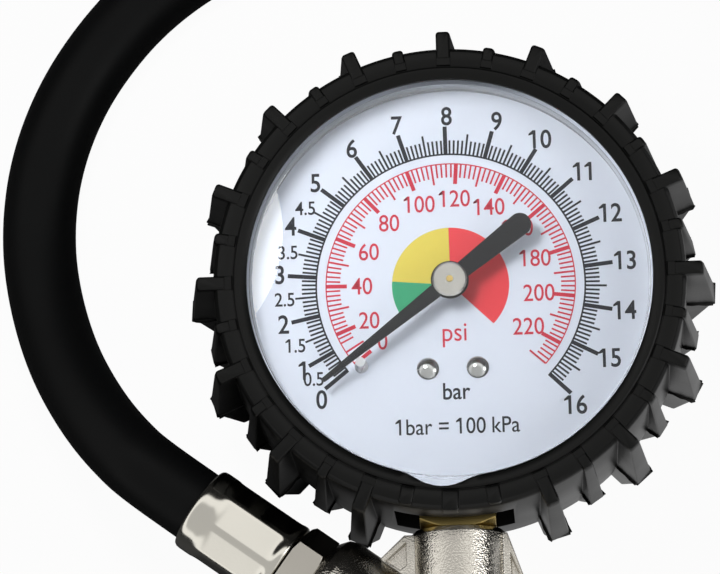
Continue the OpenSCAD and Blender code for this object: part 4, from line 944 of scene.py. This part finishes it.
def make_table():
    """A white table. Mirrors see it pale at the lower right and dark at the left."""
    mesh = bpy.data.meshes.new("table")
    far = 3.0
    mesh.from_pydata([(-far, -far, 0), (far, -far, 0), (far, far, 0), (-far, far, 0)], [],
                     [(0, 1, 2, 3)])
    table = bpy.data.objects.new("table", mesh)
    bpy.context.scene.collection.objects.link(table)
    material = bpy.data.materials.new("table white")
    material.use_nodes = True
    tree = material.node_tree
    node, link = tree.nodes.new, tree.links.new
    plain = tree.nodes["Principled BSDF"]
    plain.inputs["Base Color"].default_value = (0.9, 0.9, 0.9, 1)
    plain.inputs["Roughness"].default_value = 0.9
    path, place = node("ShaderNodeLightPath"), node("ShaderNodeTexCoord")
    along, level = node("ShaderNodeVectorMath"), node("ShaderNodeMapRange")
    along.operation = "DOT_PRODUCT"
    along.inputs[1].default_value = CARD_SIDE
    level.inputs["From Min"].default_value = 0.0
    level.inputs["From Max"].default_value = CARD_EDGE
    link(place.outputs["Object"], along.inputs[0])
    link(along.outputs["Value"], level.inputs["Value"])
    card, white = node("ShaderNodeEmission"), node("ShaderNodeEmission")
    link(level.outputs["Result"], card.inputs["Strength"])
    first, second = node("ShaderNodeMixShader"), node("ShaderNodeMixShader")
    shares = []
    for rays, share in ((("Is Glossy Ray", "Is Transmission Ray"), CARD_SHARE),
                        (("Is Camera Ray", "Is Camera Ray"), WHITE_SHARE)):
        either, part = node("ShaderNodeMath"), node("ShaderNodeMath")
        either.operation, part.operation = "MAXIMUM", "MULTIPLY"
        part.inputs[1].default_value = share
        link(path.outputs[rays[0]], either.inputs[0])
        link(path.outputs[rays[1]], either.inputs[1])
        link(either.outputs[0], part.inputs[0])
        shares.append(part)
    link(shares[0].outputs[0], first.inputs[0])
    link(plain.outputs[0], first.inputs[1])
    link(card.outputs[0], first.inputs[2])
    link(shares[1].outputs[0], second.inputs[0])
    link(first.outputs[0], second.inputs[1])
    link(white.outputs[0], second.inputs[2])
    link(second.outputs[0], tree.nodes["Material Output"].inputs["Surface"])
    mesh.materials.append(material)


make_table()
print("the table is ready")

# %% [markdown]
# ## World and lamps
# A picture of a studio could light the scene, but a plain world is easier to steer. Dull surfaces
# get an even, weak light from it. Polished ones see a white band round a greyer middle, with
# darkness at the sides. That band is shut off for light that has met a dull surface, or it would
# light the dial through its window. A small lamp near the upper left makes that side of the
# dial the brighter one. It stands where the window doesn't mirror it to the camera. A second
# lamp fills in from the right.

# %% World
BRIGHT_SIDE = (-0.2, -0.45, 0.87)
ROOM_LEVEL = 0.12
MIRROR_RAMP = ((0.35, 0.02), (0.43, 1.15), (0.67, 1.1), (0.75, 0.6))
WARM_WHITE = (1.0, 0.99, 0.97)


def make_world():
    """Even light on dull surfaces; mirrors see a soft white band round a greyer middle."""
    world = bpy.data.worlds.new("white room")
    bpy.context.scene.world = world
    world.use_nodes = True
    tree = world.node_tree
    node, link = tree.nodes.new, tree.links.new
    for old in list(tree.nodes):
        tree.nodes.remove(old)
    path, place = node("ShaderNodeLightPath"), node("ShaderNodeTexCoord")
    along, ramp = node("ShaderNodeVectorMath"), node("ShaderNodeValToRGB")
    along.operation = "DOT_PRODUCT"
    along.inputs[1].default_value = BRIGHT_SIDE
    link(place.outputs["Generated"], along.inputs[0])
    link(along.outputs["Value"], ramp.inputs[0])
    stops = ramp.color_ramp.elements
    for i, (position, level) in enumerate(MIRROR_RAMP):
        stop = stops[i] if i < 2 else stops.new(position)
        stop.position = position
        stop.color = [level * share for share in WARM_WHITE] + [1]
    room, mirror = node("ShaderNodeBackground"), node("ShaderNodeBackground")
    white = node("ShaderNodeBackground")
    room.inputs["Color"].default_value = (1, 1, 1, 1)
    room.inputs["Strength"].default_value = ROOM_LEVEL
    white.inputs["Color"].default_value = (1, 1, 1, 1)
    link(ramp.outputs[0], mirror.inputs["Color"])
    direct, polished = node("ShaderNodeMath"), node("ShaderNodeMath")
    direct.operation, polished.operation = "LESS_THAN", "MULTIPLY"
    direct.inputs[1].default_value = 0.5
    either = node("ShaderNodeMath")
    either.operation = "MAXIMUM"
    link(path.outputs["Is Glossy Ray"], either.inputs[0])
    link(path.outputs["Is Transmission Ray"], either.inputs[1])
    link(path.outputs["Diffuse Depth"], direct.inputs[0])
    link(direct.outputs[0], polished.inputs[0])
    link(either.outputs[0], polished.inputs[1])
    first, second = node("ShaderNodeMixShader"), node("ShaderNodeMixShader")
    link(polished.outputs[0], first.inputs[0])
    link(room.outputs[0], first.inputs[1])
    link(mirror.outputs[0], first.inputs[2])
    link(path.outputs["Is Camera Ray"], second.inputs[0])
    link(first.outputs[0], second.inputs[1])
    link(white.outputs[0], second.inputs[2])
    link(second.outputs[0], node("ShaderNodeOutputWorld").inputs["Surface"])


make_world()
print("the world has", len(MIRROR_RAMP), "levels for polished things")


# %% Lamps
def make_lamp(name, place, aim, size, watts, shines=True):
    """A round area lamp that points at a place; polished things mirror it if it shines."""
    data = bpy.data.lights.new(name, "AREA")
    data.shape, data.size, data.energy = "DISK", size, watts
    lamp = bpy.data.objects.new(name, data)
    lamp.visible_glossy = shines
    lamp.location = place
    lamp.rotation_euler = (Vector(aim) - Vector(place)).to_track_quat("-Z", "Y").to_euler()
    bpy.context.scene.collection.objects.link(lamp)


make_lamp("upper left lamp", (-0.07, 0.05, 0.20), (0, 0, 0.03), 0.06, 0.155, shines=False)
make_lamp("right lamp", (0.8, -0.1, 0.6), (0, 0, 0), 0.4, 1.2)
bpy.context.scene.view_settings.view_transform = "Standard"
print("two lamps are ready")
